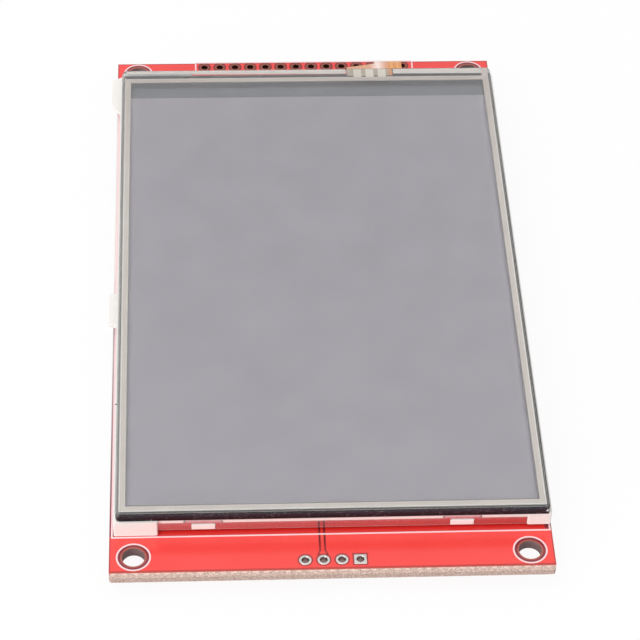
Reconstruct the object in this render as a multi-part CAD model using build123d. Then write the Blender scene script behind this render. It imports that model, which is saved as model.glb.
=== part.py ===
from build123d import *
import os

# Display module: a circuit board carrying a liquid crystal panel, its backlight and a touch panel.
# Millimetres. X runs along the short side and Y along the long side, towards the 14 hole row.
# Z points out of the screen. The origin is the centre of the four mounting holes,
# on the back face of the board.

# Liquid crystal cell, which sets the size of everything around it
cell_width = 58.8
array_length = 90.8
driver_ledge = 4.2
array_glass_thickness = 0.5
filter_glass_thickness = 0.5
polarizer_thickness = 0.2
polarizer_inset = 0.4

# Moulded frame round the cell
cell_gap = 0.15
frame_side_wall = 0.975
frame_near_wall = 1.5
frame_far_wall = 1.4
frame_lip = 0.8
frame_corner_radius = 0.5
cover_step = 0.35

# Folded tray under the frame
tray_thickness = 0.2
tray_inner_radius = 0.1
tray_wall_height = 1.65
ledge_overhang = 0.02
fit_gap = 0.05
corner_relief = 1.0

# Snap hooks of the tray and lugs of the frame
hook_base_width = 5.4
hook_top_width = 4.8
hook_rise = 0.5
hook_corner_radius = 0.2
window_width = 3.4
window_height = 1.1
window_sill = 0.25
lug_proud = 0.1
lug_chamfer = 0.08
near_hook_offset = 18.05
side_hook_from_far = 11.5
side_window_from_near = 21.5
far_window_offset = 24.0

# Feet and ears of the frame
foot_depth = 1.15
left_foot_width = 6.15
left_foot_reach = 0.6
left_foot_lift = 0.05
right_foot_width = 3.35
right_foot_reach = 0.12
right_foot_lift = 0.4
ear_thickness = 0.55
far_ear_reach = 1.35
far_ear_length = 8.8
far_ear_far_slope = 0.7
far_ear_near_slope = 2.4
side_ear_reach = 1.15
side_ear_length = 6.6
side_ear_from_near = 40.65

# Backlight stack
tape_thickness = 0.25
tape_width = 4.0
tape_edge_gap = 2.0
reflector_thickness = 0.1
guide_thickness = 0.6
guide_gap = 0.15
guide_inset = 0.65
diffuser_thickness = 0.08
prism_thickness = 0.1
sheet_inset = 0.2
rim_tape_thickness = 0.07
rim_tape_width = 1.6
led_count = 8
led_width = 3.8
led_depth = 1.3
led_gap = 0.05
strip_thickness = 0.1
strip_overlap = 0.5
strip_tongue_width = 6.0
strip_tongue_gap = 0.1

# Driver chip, its cover tape and the display flex
chip_length = 28.0
chip_width = 1.2
chip_height = 0.3
chip_from_filter = 0.6
cover_tape_thickness = 0.08
notch_width = 37.8
flex_width = 36.0
flex_thickness = 0.1
flex_bond = 1.2
flex_bend_gap = 0.05
flex_run = 11.0
flex_joint_count = 40
flex_joint_pitch = 0.8
flex_joint_width = 0.45
flex_joint_length = 1.4
joint_thickness = 0.06

# Touch panel
touch_side_inset = 0.35
touch_near_overhang = 0.45
touch_far_inset = 0.25
touch_shift = -0.025
touch_corner_radius = 0.6
adhesive_thickness = 0.2
adhesive_side_width = 1.1
adhesive_near_width = 1.5
adhesive_far_width = 0.65
adhesive_edge_gap = 0.12
adhesive_far_gap = 0.55
touch_glass_thickness = 1.1
touch_arris = 0.08
border_thickness = 0.1
border_width = 1.02
border_side_gap = 0.45
border_near_gap = 0.65
border_far_gap = 2.05
film_thickness = 0.18
film_inset = 0.15
electrode_width = 1.3
electrode_pitch = 2.0
electrode_count = 3

# Touch tail, folded down to the board behind the far edge of the display
tail_thickness = 0.07
tail_left = 6.8
tail_bond_right = 14.2
tail_neck_left = 11.4
tail_neck_right = 16.4
tail_bond = 1.75
tail_slant_start = 0.45
tail_slant = 0.9
tail_reach = 2.7
tail_top_radius = 2.0
tail_foot_radius = 0.5
tail_foot_gap = 0.15
tail_joint_count = 4
tail_joint_pitch = 1.0
tail_joint_width = 0.5
tail_joint_length = 1.2

# Circuit board round the display
board_thickness = 1.6
board_side_margin = 0.345
board_near_strip = 7.17
board_far_strip = 6.87
board_corner_radius = 0.45
board_bevel = 0.25
board_bevel_depth = 0.65
board_edge_web = 0.3
display_shift = 0.25
mount_hole_diameter = 3.2
mount_inset_x = 3.37
mount_inset_y = 2.82
pin_pitch = 2.54
pin_hole_diameter = 1.05
header_count = 14
header_from_far_edge = 1.27
card_header_count = 4
card_header_from_near_edge = 1.77

# Card socket on the back
socket_depth = 26.5
socket_height = 2.8
socket_setback = 1.1
socket_from_near_edge = 26.5
socket_shell_thickness = 0.2
socket_side_wall = 1.65
socket_rail_width = 1.6
socket_floor = 0.6
socket_rear_wall = 2.0
socket_tab_width = 2.0
socket_tab_reach = 1.0
card_width = 24.2
socket_contact_count = 9
socket_contact_pitch = 2.5
socket_contact_width = 0.9
socket_contact_thickness = 0.15
socket_tail_run = 1.3
socket_contact_ramp = 4.5
socket_contact_nose = 1.5
socket_spring_length = 7.0
socket_spring_width = 1.8
socket_spring_cut = 0.5
socket_mouth_depth = 3.5
socket_mouth_radius = 1.0

# Chips and passive parts on the back
lead_thickness = 0.15
lead_foot = 0.35
controller_length = 5.0
controller_width = 4.4
controller_height = 1.0
controller_lead_count = 8
controller_pitch = 0.65
controller_lead_width = 0.25
controller_span = 6.4
regulator_length = 4.5
regulator_width = 2.5
regulator_height = 1.5
regulator_pitch = 1.5
regulator_lead_width = 0.45
regulator_span = 4.4
transistor_length = 2.9
transistor_width = 1.3
transistor_height = 1.0
transistor_pitch = 1.9
transistor_lead_width = 0.4
transistor_span = 2.4
standoff = 0.08
controller_x = -6.0
controller_from_far = 17.0
regulator_x = -19.0
regulator_from_far = 15.5
transistor_x = 6.0
transistor_from_far = 14.0
chip_part_length = 1.6
chip_part_width = 0.8
resistor_height = 0.45
capacitor_height = 0.8
end_cap_length = 0.3
end_cap_wall = 0.04
part_gap = 2.3
part_step = 2.8
resistor_row_count = 6
resistor_row_x = -7.75
resistor_row_from_far = 9.0
body_draft = 0.1
pin_mark_radius = 0.25
pin_mark_depth = 0.1
pin_mark_inset = 0.8

# How far a cutter runs past the face that it cuts
past = 1.0

# Outline of the frame and of the board
frame_width = cell_width + 2 * (cell_gap + frame_side_wall)
frame_length = array_length + 2 * cell_gap + frame_near_wall + frame_far_wall
board_width = frame_width + 2 * board_side_margin
board_length = frame_length + board_near_strip + board_far_strip
board_right = board_width / 2
board_far = board_length / 2
mount_x = board_right - mount_inset_x
mount_y = board_far - mount_inset_y
header_y = board_far - header_from_far_edge
card_header_y = card_header_from_near_edge - board_far
frame_left = display_shift - frame_width / 2
frame_right = display_shift + frame_width / 2
frame_near = board_near_strip - board_far
frame_far = board_far - board_far_strip

# Pocket for the cell, tray faces and the opening for the light guide
pocket_left = frame_left + frame_side_wall
pocket_right = frame_right - frame_side_wall
pocket_near = frame_near + frame_near_wall
pocket_far = frame_far - frame_far_wall
tray_left = frame_left + ledge_overhang
tray_right = frame_right - ledge_overhang
tray_near = frame_near + ledge_overhang
tray_far = frame_far - ledge_overhang
body_inset = ledge_overhang + tray_thickness + fit_gap
opening_left = pocket_left + frame_lip
opening_right = pocket_right - frame_lip
opening_near = pocket_near + frame_lip - guide_gap
opening_far = pocket_far - guide_inset

# Heights of the stack, from the board upwards
tray_bottom = board_thickness + tape_thickness
tray_floor_top = tray_bottom + tray_thickness
guide_bottom = tray_floor_top + reflector_thickness
guide_top = guide_bottom + guide_thickness
prism_lower_bottom = guide_top + diffuser_thickness
prism_upper_bottom = prism_lower_bottom + prism_thickness
lip_top = prism_upper_bottom + prism_thickness
rear_polarizer_bottom = lip_top + rim_tape_thickness
array_bottom = rear_polarizer_bottom + polarizer_thickness
array_top = array_bottom + array_glass_thickness
filter_top = array_top + filter_glass_thickness
frame_top = filter_top + polarizer_thickness
touch_bottom = frame_top + adhesive_thickness
touch_top = touch_bottom + touch_glass_thickness
film_bottom = touch_top + border_thickness
wall_top = tray_bottom + tray_wall_height
ledge_bottom = wall_top + fit_gap
hook_top = wall_top + hook_rise
window_bottom = tray_bottom + window_sill
window_top = window_bottom + window_height

# Cell and touch panel outlines
cell_left = pocket_left + cell_gap
cell_right = pocket_right - cell_gap
cell_near = pocket_near + cell_gap
array_far = pocket_far - cell_gap
filter_far = array_far - driver_ledge
touch_left = frame_left + touch_side_inset + touch_shift
touch_right = frame_right - touch_side_inset + touch_shift
touch_near = frame_near - touch_near_overhang
touch_far = frame_far - touch_far_inset
border_far = touch_far - border_far_gap


def block(x0, x1, y0, y1, z0, z1):
    """Box between limits along each axis."""
    centre = Pos((x0 + x1) / 2, (y0 + y1) / 2, (z0 + z1) / 2)
    return centre * Box(x1 - x0, y1 - y0, z1 - z0)


def plate(x0, x1, y0, y1, z0, thickness, radius):
    """Flat plate with rounded corners."""
    outline = RectangleRounded(x1 - x0, y1 - y0, radius)
    return Pos((x0 + x1) / 2, (y0 + y1) / 2, z0) * extrude(outline, thickness)


def ribbon(points, radii, x, width, thickness):
    """Bent strip of one width: points are (y, z) of its middle line. Radii round its corners."""
    corners = [(x, y, z) for y, z in points]
    path = FilletPolyline(*corners, radius=radii) if radii else Polyline(*corners)
    start = Plane(origin=path @ 0, x_dir=(1, 0, 0), z_dir=path % 0)
    return sweep(start * Rectangle(width, thickness), path=path, transition=Transition.RIGHT)


def drilled(x, y, diameter, z0, z1):
    """Cutter for a round hole."""
    return Pos(x, y, (z0 + z1) / 2) * Cylinder(diameter / 2, z1 - z0)


def row_places(count, pitch):
    """Places along a row that is centred on zero."""
    return [(i - (count - 1) / 2) * pitch for i in range(count)]


def save(name, shape):
    """Write one node as a STEP file."""
    solids = shape if isinstance(shape, list) else [shape]
    solids = [solid for item in solids for solid in item.solids()]
    export_step(solids[0] if len(solids) == 1 else Compound(children=solids), f"parts/{name}.step")


# Board


def circuit_board():
    """Board whose two short edges are snapped off along a score line: a bevel over a rough web."""
    top = board_far - board_bevel
    web = board_far + board_edge_web
    web_top = board_thickness - board_bevel_depth
    side_view = Polygon((-web, 0), (-web, web_top), (-top, board_thickness),
                        (top, board_thickness), (web, web_top), (web, 0), align=None)
    board = extrude(Plane.YZ * side_view, board_right, both=True)
    corners = board.edges().filter_by(Axis.Z)
    board = fillet(corners, board_corner_radius)
    for x in (-mount_x, mount_x):
        for y in (-mount_y, mount_y):
            board -= drilled(x, y, mount_hole_diameter, -past, board_thickness + past)
    for count, y in ((header_count, header_y), (card_header_count, card_header_y)):
        for x in row_places(count, pin_pitch):
            board -= drilled(x, y, pin_hole_diameter, -past, board_thickness + past)
    return board


def mounting_tape():
    """Strips of double sided tape: one along each side and one across the near end."""
    near = frame_near + tape_edge_gap
    far = frame_far - flex_run - tape_edge_gap - tape_width
    left = frame_left + tape_edge_gap
    right = frame_right - tape_edge_gap
    strip_near = near + tape_width + tape_edge_gap
    return [
        block(left, left + tape_width, strip_near, far, board_thickness, tray_bottom),
        block(right - tape_width, right, strip_near, far, board_thickness, tray_bottom),
        block(left + left_foot_width, right - left_foot_width, near, near + tape_width,
              board_thickness, tray_bottom),
    ]


# Snap hooks: places along the tray walls as (x, y, turn), with the wall's outside towards -Y


def hook_spots():
    spots = [(display_shift + side * near_hook_offset, tray_near, 0) for side in (-1, 1)]
    spots.append((tray_left, frame_far - side_hook_from_far, -90))
    spots.append((tray_right, frame_far - side_hook_from_far, 90))
    return spots


def window_spots():
    spots = [(tray_left, frame_near + side_window_from_near, -90)]
    spots.append((tray_right, frame_near + side_window_from_near, 90))
    for side in (-1, 1):
        spots.append((display_shift + side * far_window_offset, tray_far, 180))
    return spots


def at_spot(spot, shape):
    x, y, turn = spot
    return Pos(x, y, 0) * Rot(0, 0, turn) * shape


def hook_plate():
    """Trapezoid that rises from the tray wall."""
    root = ledge_bottom - hook_rise
    slope = (hook_base_width - hook_top_width) / 2 / (hook_top - wall_top)
    root_half = hook_base_width / 2 + slope * (wall_top - root)
    outline = Polygon((-root_half, root), (root_half, root), (hook_top_width / 2, hook_top),
                      (-hook_top_width / 2, hook_top), align=None)
    plate_shape = extrude(Plane.XZ * outline, -tray_thickness)
    top_corners = plate_shape.edges().filter_by(Axis.Y).group_by(Axis.Z)[-1]
    return fillet(top_corners, hook_corner_radius)


def window_cutter():
    return block(-window_width / 2, window_width / 2, -past, tray_thickness + fit_gap,
                 window_bottom, window_top)


def lug():
    """Lug of the frame that fills a window of the tray and stands a little proud of it."""
    half = window_width / 2 - fit_gap
    shape = block(-half, half, -lug_proud, tray_thickness + 2 * fit_gap,
                  window_bottom + fit_gap, window_top - fit_gap)
    outer = shape.edges().group_by(Axis.Y)[0]
    return chamfer(outer, lug_chamfer)


def hook_recess():
    """Space in the overhanging ledge of the frame that a hook rises into."""
    half = hook_base_width / 2 + fit_gap
    return block(-half, half, -past, tray_thickness + fit_gap, ledge_bottom - fit_gap,
                 hook_top + fit_gap)


def foot_limits():
    """The two corner feet at the near end: x0, x1, the face towards the near edge and the lift."""
    return [(frame_left, frame_left + left_foot_width, frame_near - left_foot_reach,
             left_foot_lift),
            (frame_right - right_foot_width, frame_right, frame_near - right_foot_reach,
             right_foot_lift)]


def backlight_tray():
    """Sheet metal tray: floor, four walls with bend radii, relieved corners and snap hooks."""
    outer_radius = tray_inner_radius + tray_thickness
    shell = block(tray_left, tray_right, tray_near, tray_far, tray_bottom, wall_top)
    bottom = shell.faces().sort_by(Axis.Z)[0]
    shell = fillet(bottom.edges(), outer_radius)
    inside = block(tray_left + tray_thickness, tray_right - tray_thickness,
                   tray_near + tray_thickness, tray_far - tray_thickness,
                   tray_floor_top, wall_top + past)
    inside_bottom = inside.faces().sort_by(Axis.Z)[0]
    shell -= fillet(inside_bottom.edges(), tray_inner_radius)
    for spot in hook_spots():
        shell += at_spot(spot, hook_plate())
    for spot in hook_spots() + window_spots():
        shell -= at_spot(spot, window_cutter())
    for x0, x1 in ((tray_left - past, tray_left + corner_relief),
                   (tray_right - corner_relief, tray_right + past)):
        shell -= block(x0, x1, tray_far - corner_relief, tray_far + past, 0, wall_top + past)
    for x0, x1, near, lift in foot_limits():
        shell -= block(x0 - fit_gap, x1 + fit_gap, near - past, frame_near + foot_depth + fit_gap,
                       0, wall_top + past)
    notch_half = notch_width / 2
    shell -= block(display_shift - notch_half, display_shift + notch_half,
                   pocket_far - fit_gap - tray_thickness, frame_far + past, 0, frame_top)
    return shell


def far_ear():
    """Ear at the far left corner, sloping out from the corner of the frame."""
    far = frame_far - frame_corner_radius / 2
    tip = frame_left - far_ear_reach
    root = frame_left + frame_side_wall / 2
    outline = Polygon((root, far), (frame_left, far), (tip, far - far_ear_far_slope),
                      (tip, far - far_ear_length + far_ear_near_slope),
                      (frame_left, far - far_ear_length), (root, far - far_ear_length), align=None)
    return Pos(0, 0, frame_top - ear_thickness) * extrude(outline, ear_thickness)


def side_ear():
    """Square ear halfway along the left side."""
    near = frame_near + side_ear_from_near - side_ear_length / 2
    shape = block(frame_left - side_ear_reach, frame_left + frame_side_wall / 2,
                  near, near + side_ear_length, frame_top - ear_thickness, frame_top)
    outer = shape.edges().filter_by(Axis.Z).group_by(Axis.X)[0]
    return fillet(outer, side_ear_reach / 3)


def backlight_frame():
    """Moulded frame: a body inside the tray, a ledge over it, feet, ears and lugs."""
    shape = block(frame_left + body_inset, frame_right - body_inset, frame_near + body_inset,
                  frame_far - body_inset, tray_floor_top, ledge_bottom)
    shape = fillet(shape.faces().sort_by(Axis.Z)[0].edges(), tray_inner_radius)
    shape += plate(frame_left, frame_right, frame_near, frame_far, ledge_bottom,
                   frame_top - ledge_bottom, frame_corner_radius)
    for x0, x1, near, lift in foot_limits():
        foot = block(x0, x1, near, frame_near + foot_depth, board_thickness + lift, frame_top)
        front = foot.edges().filter_by(Axis.Z).group_by(Axis.Y)[0]
        shape += fillet(front, frame_corner_radius / 2)
    shape += far_ear()
    shape += side_ear()
    for spot in hook_spots():
        shape -= at_spot(spot, hook_recess())
    for spot in hook_spots() + window_spots():
        shape += at_spot(spot, lug())
    top = frame_top + past
    shape -= block(opening_left, opening_right, opening_near, opening_far, 0, top)
    shape -= block(pocket_left, pocket_right, pocket_near, pocket_far, lip_top, top)
    shape -= block(pocket_left, pocket_right, pocket_far - cover_step, pocket_far + cover_step,
                   filter_top, top)
    notch_half = notch_width / 2
    shape -= block(display_shift - notch_half, display_shift + notch_half,
                   pocket_far, frame_far + past, 0, top)
    tongue_half = strip_tongue_width / 2 + strip_tongue_gap
    shape -= block(display_shift - tongue_half, display_shift + tongue_half,
                   opening_far - past, pocket_far + past, guide_top - strip_tongue_gap, top)
    return shape


# Backlight


def reflector_sheet():
    return block(opening_left + guide_gap, opening_right - guide_gap, opening_near + guide_gap,
                 opening_far - guide_gap, tray_floor_top, guide_bottom)


guide_left = opening_left + guide_gap
guide_right = opening_right - guide_gap
guide_near = opening_near + guide_gap
led_far = opening_far - guide_gap
guide_far = led_far - led_depth - led_gap


def light_guide():
    return block(guide_left, guide_right, guide_near, guide_far, guide_bottom, guide_top)


def optical_sheet(bottom, thickness):
    return block(guide_left + sheet_inset, guide_right - sheet_inset, guide_near + sheet_inset,
                 guide_far - strip_overlap - sheet_inset, bottom, bottom + thickness)


def backlight_leds():
    """Row of side shining diodes, each a white body with a lens recess towards the light guide."""
    leds = []
    recess_depth = led_depth / 6
    wall = led_width / 12
    for x in row_places(led_count, (guide_right - guide_left) / led_count):
        centre = display_shift + x
        body = block(centre - led_width / 2, centre + led_width / 2, led_far - led_depth, led_far,
                     guide_bottom, guide_top)
        body -= block(centre - led_width / 2 + wall, centre + led_width / 2 - wall,
                      led_far - led_depth - past, led_far - led_depth + recess_depth,
                      guide_bottom + guide_thickness / 5, guide_top - guide_thickness / 5)
        leds.append(body)
    return leds


def backlight_strip():
    """Strip over the diodes, with a tongue that reaches the inside of the display flex."""
    strip = block(guide_left, guide_right, guide_far - strip_overlap, led_far,
                  guide_top, guide_top + strip_thickness)
    tongue = block(display_shift - strip_tongue_width / 2, display_shift + strip_tongue_width / 2,
                   led_far - strip_overlap, flex_inner_face - fit_gap,
                   guide_top, guide_top + strip_thickness)
    return strip + tongue


def rim_tape():
    """Black tape on the lip of the frame, under the edge of the cell."""
    ring = block(cell_left, cell_right, cell_near, opening_far + cell_gap, lip_top,
                 lip_top + rim_tape_thickness)
    ring -= block(cell_left + rim_tape_width, cell_right - rim_tape_width,
                  cell_near + rim_tape_width, guide_far - strip_overlap,
                  0, lip_top + past)
    return ring


# Cell


def rear_polarizer():
    return block(cell_left + polarizer_inset, cell_right - polarizer_inset,
                 cell_near + polarizer_inset, filter_far - polarizer_inset,
                 rear_polarizer_bottom, array_bottom)


def array_glass():
    return block(cell_left, cell_right, cell_near, array_far, array_bottom, array_top)


def colour_filter_glass():
    return block(cell_left, cell_right, cell_near, filter_far, array_top, filter_top)


def front_polarizer():
    return block(cell_left + polarizer_inset, cell_right - polarizer_inset,
                 cell_near + polarizer_inset, filter_far - polarizer_inset,
                 filter_top, frame_top)


def driver_chip():
    near = filter_far + chip_from_filter
    return block(display_shift - chip_length / 2, display_shift + chip_length / 2,
                 near, near + chip_width, array_top, array_top + chip_height)


def ledge_cover_tape():
    """Black tape from the edge of the colour filter glass to the step in the frame."""
    return block(cell_left, cell_right, filter_far - polarizer_inset + fit_gap,
                 pocket_far + cover_step - fit_gap, filter_top, filter_top + cover_tape_thickness)


# A flex folds back on itself in two quarter turns, each a little under half of the fold's height
fold_share = 0.49

# Display flex: from the driver ledge, out through the notch, and back under the tray
flex_bottom_mid = board_thickness + joint_thickness + flex_thickness / 2
flex_top_mid = array_top + flex_thickness / 2
flex_bend_far = frame_far - flex_bend_gap - flex_thickness / 2
flex_inner_face = flex_bend_far - flex_thickness / 2
flex_end = frame_far - flex_run


def display_flex():
    radius = fold_share * (flex_top_mid - flex_bottom_mid)
    points = [(array_far - flex_bond, flex_top_mid), (flex_bend_far, flex_top_mid),
              (flex_bend_far, flex_bottom_mid), (flex_end, flex_bottom_mid)]
    return ribbon(points, [radius, radius], display_shift, flex_width, flex_thickness)


def display_flex_joints():
    joints = []
    for x in row_places(flex_joint_count, flex_joint_pitch):
        centre = display_shift + x
        joints.append(block(centre - flex_joint_width / 2, centre + flex_joint_width / 2,
                            flex_end, flex_end + flex_joint_length,
                            board_thickness, board_thickness + joint_thickness))
    return joints


# Touch panel


def touch_adhesive():
    """Black ring between the frame and the touch glass."""
    left = touch_left + adhesive_edge_gap
    right = touch_right - adhesive_edge_gap
    near = touch_near + adhesive_edge_gap
    far = touch_far - adhesive_far_gap
    ring = block(left, right, near, far, frame_top, touch_bottom)
    ring -= block(left + adhesive_side_width, right - adhesive_side_width,
                  near + adhesive_near_width, far - adhesive_far_width, 0, touch_bottom + past)
    return ring


def touch_glass():
    glass = plate(touch_left, touch_right, touch_near, touch_far, touch_bottom,
                  touch_glass_thickness, touch_corner_radius)
    rims = glass.faces().filter_by(Axis.Z)
    return chamfer(rims.edges(), touch_arris)


def touch_border():
    """Printed insulating band round the window, with a run to the far edge at the right."""
    left = touch_left + border_side_gap
    right = touch_right - border_side_gap
    near = touch_near + border_near_gap
    ring = block(left, right, near, border_far, touch_top, film_bottom)
    ring -= block(left + border_width, right - border_width, near + border_width,
                  border_far - border_width, 0, film_bottom + past)
    ring += block(right - border_width, right, border_far - border_width,
                  touch_far - film_inset, touch_top, film_bottom)
    return ring


def touch_electrodes():
    """Silver strips from the border to the far edge, printed under the film, over the tail."""
    strips = []
    tail_middle = (tail_left + tail_bond_right) / 2
    for x in row_places(electrode_count, electrode_pitch):
        strips.append(block(tail_middle + x - electrode_width / 2,
                            tail_middle + x + electrode_width / 2, border_far,
                            touch_far - film_inset, touch_top + tail_thickness, film_bottom))
    return strips


def touch_film():
    return plate(touch_left + film_inset, touch_right - film_inset, touch_near + film_inset,
                 touch_far - film_inset, film_bottom, film_thickness, touch_corner_radius)


# Touch tail: bonded under the film, down to the board in one bend, and back towards the display
tail_top_mid = touch_top + tail_thickness / 2
tail_foot_mid = board_thickness + joint_thickness + tail_thickness / 2
tail_fold_far = touch_far + tail_reach
tail_end = frame_far + tail_foot_gap


def touch_flex():
    points = [(touch_far - tail_bond, tail_top_mid), (tail_fold_far, tail_top_mid),
              (tail_fold_far, tail_foot_mid), (tail_end, tail_foot_mid)]
    middle = (tail_left + tail_neck_right) / 2
    tail = ribbon(points, [tail_top_radius, tail_foot_radius], middle,
                  tail_neck_right - tail_left, tail_thickness)
    slant_start = touch_far + tail_slant_start
    slant_end = slant_start + tail_slant
    far = tail_fold_far + past
    waste = Polygon((tail_left - past, slant_start), (tail_left, slant_start),
                    (tail_neck_left, slant_end), (tail_neck_left, far), (tail_left - past, far),
                    align=None)
    tail -= extrude(waste, film_bottom)
    tail -= block(tail_left - past, tail_neck_left, frame_far, far, 0, touch_bottom)
    tail -= block(tail_bond_right, tail_neck_right + past, touch_far - tail_bond - past,
                  touch_far, touch_bottom, film_bottom + past)
    return tail


def touch_flex_joints():
    joints = []
    middle = (tail_neck_left + tail_neck_right) / 2
    for x in row_places(tail_joint_count, tail_joint_pitch):
        joints.append(block(middle + x - tail_joint_width / 2, middle + x + tail_joint_width / 2,
                            tail_end, tail_end + tail_joint_length,
                            board_thickness, board_thickness + joint_thickness))
    return joints


# Parts on the back of the board, drawn standing on Z = 0 and then turned over


def on_back(shape, x, y, turn=0):
    return Pos(x, y, 0) * Rot(0, 0, turn) * Rot(180, 0, 0) * shape


socket_x = board_right - socket_setback
socket_y = socket_from_near_edge - board_far
rail_outside = card_width / 2 + socket_side_wall
shell_inside = rail_outside + fit_gap
shell_outside = shell_inside + socket_shell_thickness
rear = -socket_depth


def card_socket_shell():
    """Folded steel cover: roof with two spring cuts and a window, two sides and four solder tabs."""
    roof = socket_height - socket_shell_thickness
    shell = block(rear, 0, -shell_outside, shell_outside, 0, socket_height)
    top_edges = shell.edges().filter_by(Axis.X).group_by(Axis.Z)[-1]
    shell = fillet(top_edges, 2 * socket_shell_thickness)
    inner = block(rear - past, past, -shell_inside, shell_inside, -past, roof)
    inner_edges = inner.edges().filter_by(Axis.X).group_by(Axis.Z)[-1]
    shell -= fillet(inner_edges, socket_shell_thickness)
    for side in (-1, 1):
        for x in (rear + socket_tab_width, -socket_tab_width * 2):
            shell += block(x, x + socket_tab_width, *sorted((side * shell_inside,
                           side * (shell_outside + socket_tab_reach))),
                           0, socket_shell_thickness)
        finger = side * card_width / 4
        half_spring = socket_spring_width / 2
        half_cut = half_spring + socket_spring_cut
        end = rear / 2 + socket_spring_length
        cut = block(rear / 2, end, finger - half_cut, finger + half_cut, roof - past,
                    socket_height + past)
        cut -= block(rear / 2 - past, end - socket_spring_cut, finger - half_spring,
                     finger + half_spring, roof - past, socket_height + past)
        shell -= cut
    mouth = block(-socket_mouth_depth, past, -card_width / 4, card_width / 4, roof - past,
                  socket_height + past)
    mouth_corners = mouth.edges().filter_by(Axis.Z).group_by(Axis.X)[0]
    shell -= fillet(mouth_corners, socket_mouth_radius)
    return on_back(shell, socket_x, socket_y)


def contact_places():
    return row_places(socket_contact_count, socket_contact_pitch)


def card_socket_body():
    """Plastic base: two rails, a floor with openings and a rear wall with contact slots."""
    roof = socket_height - socket_shell_thickness - fit_gap
    body = block(rear + fit_gap, -fit_gap, -rail_outside, rail_outside, 0, roof)
    body -= block(rear + socket_rear_wall, past, -card_width / 2, card_width / 2, socket_floor,
                  roof + past)
    body -= block(rear / 2, -socket_rail_width, -card_width / 2 + socket_rail_width,
                  card_width / 2 - socket_rail_width, -past, socket_floor + past)
    slot_half = socket_contact_width / 2 + fit_gap
    for y in contact_places():
        body -= block(rear - past, rear / 2 + past, y - slot_half, y + slot_half,
                      -past, socket_floor + 4 * socket_contact_thickness)
    for side in (-1, 1):
        for x in (rear + socket_tab_width, -socket_tab_width * 2):
            body -= block(x - fit_gap, x + socket_tab_width + fit_gap,
                          *sorted((side * (rail_outside - fit_gap), side * (rail_outside + past))),
                          -past, socket_shell_thickness + fit_gap)
    return on_back(body, socket_x, socket_y)


def card_socket_contacts():
    """Bent spring strips: tail on the board, run through the rear wall, nose up at the card."""
    contacts = []
    low = socket_contact_thickness / 2
    nose = socket_floor + 3 * socket_contact_thickness
    ramp_end = rear / 2 - socket_contact_nose
    points = [(rear - socket_tail_run, low), (ramp_end - socket_contact_ramp, low),
              (ramp_end, nose), (rear / 2, nose - 2 * socket_contact_thickness)]
    radius = socket_contact_nose / 3
    for y in contact_places():
        strip = ribbon(points, [radius, radius], 0, socket_contact_width,
                       socket_contact_thickness)
        contacts.append(on_back(Pos(0, y, 0) * Rot(0, 0, -90) * strip, socket_x, socket_y))
    return contacts


def gull_lead(span, body_width, exit_height, width):
    """One formed lead on the +Y side of a chip."""
    low = lead_thickness / 2
    knee = span / 2 - lead_foot
    points = [(body_width / 2, exit_height), (knee, exit_height), (knee, low), (span / 2, low)]
    return ribbon(points, None, 0, width, lead_thickness)


def chip_body(length, width, height):
    """Moulded body with a draft on its sides, standing a little above the board."""
    middle = (height + standoff) / 2
    draft = body_draft * height
    half = Rectangle(length, width)
    small = Rectangle(length - 2 * draft, width - 2 * draft)
    upper = loft([Pos(0, 0, middle) * half, Pos(0, 0, height) * small])
    lower = loft([Pos(0, 0, standoff) * small, Pos(0, 0, middle) * half])
    return upper + lower


def lead_row(places, span, body_width, height, width, side):
    turn = 0 if side > 0 else 180
    exit_height = (height + standoff) / 2
    return [Pos(x, 0, 0) * Rot(0, 0, turn) * gull_lead(span, body_width, exit_height, width)
            for x in places]


controller_spot = (controller_x, board_far - controller_from_far)
regulator_spot = (regulator_x, board_far - regulator_from_far)
transistor_spot = (transistor_x, board_far - transistor_from_far)


def touch_controller_body():
    body = chip_body(controller_length, controller_width, controller_height)
    mark = Pos(-controller_length / 2 + pin_mark_inset, -controller_width / 2 + pin_mark_inset,
               controller_height)
    body -= mark * Cylinder(pin_mark_radius, 2 * pin_mark_depth)
    return on_back(body, *controller_spot)


def touch_controller_leads():
    places = row_places(controller_lead_count, controller_pitch)
    leads = []
    for side in (-1, 1):
        leads += lead_row(places, controller_span, controller_width, controller_height,
                          controller_lead_width, side)
    return [on_back(lead, *controller_spot) for lead in leads]


def regulator_body():
    return on_back(chip_body(regulator_length, regulator_width, regulator_height),
                   *regulator_spot)


def regulator_leads():
    """Three leads on one side and the wide heat tab on the other."""
    leads = lead_row(row_places(3, regulator_pitch), regulator_span, regulator_width,
                     regulator_height, regulator_lead_width, 1)
    leads += lead_row([0], regulator_span, regulator_width, regulator_height,
                      regulator_pitch + regulator_lead_width, -1)
    return [on_back(lead, *regulator_spot) for lead in leads]


def transistor_body():
    return on_back(chip_body(transistor_length, transistor_width, transistor_height),
                   *transistor_spot)


def transistor_leads():
    leads = lead_row(row_places(2, transistor_pitch), transistor_span, transistor_width,
                     transistor_height, transistor_lead_width, 1)
    leads += lead_row([0], transistor_span, transistor_width, transistor_height,
                      transistor_lead_width, -1)
    return [on_back(lead, *transistor_spot) for lead in leads]


def beside(spot, across, along, turn=90):
    """Place and turn of a chip part that stands beside a chip."""
    x, y = spot
    return x + across, y + along, turn


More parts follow.
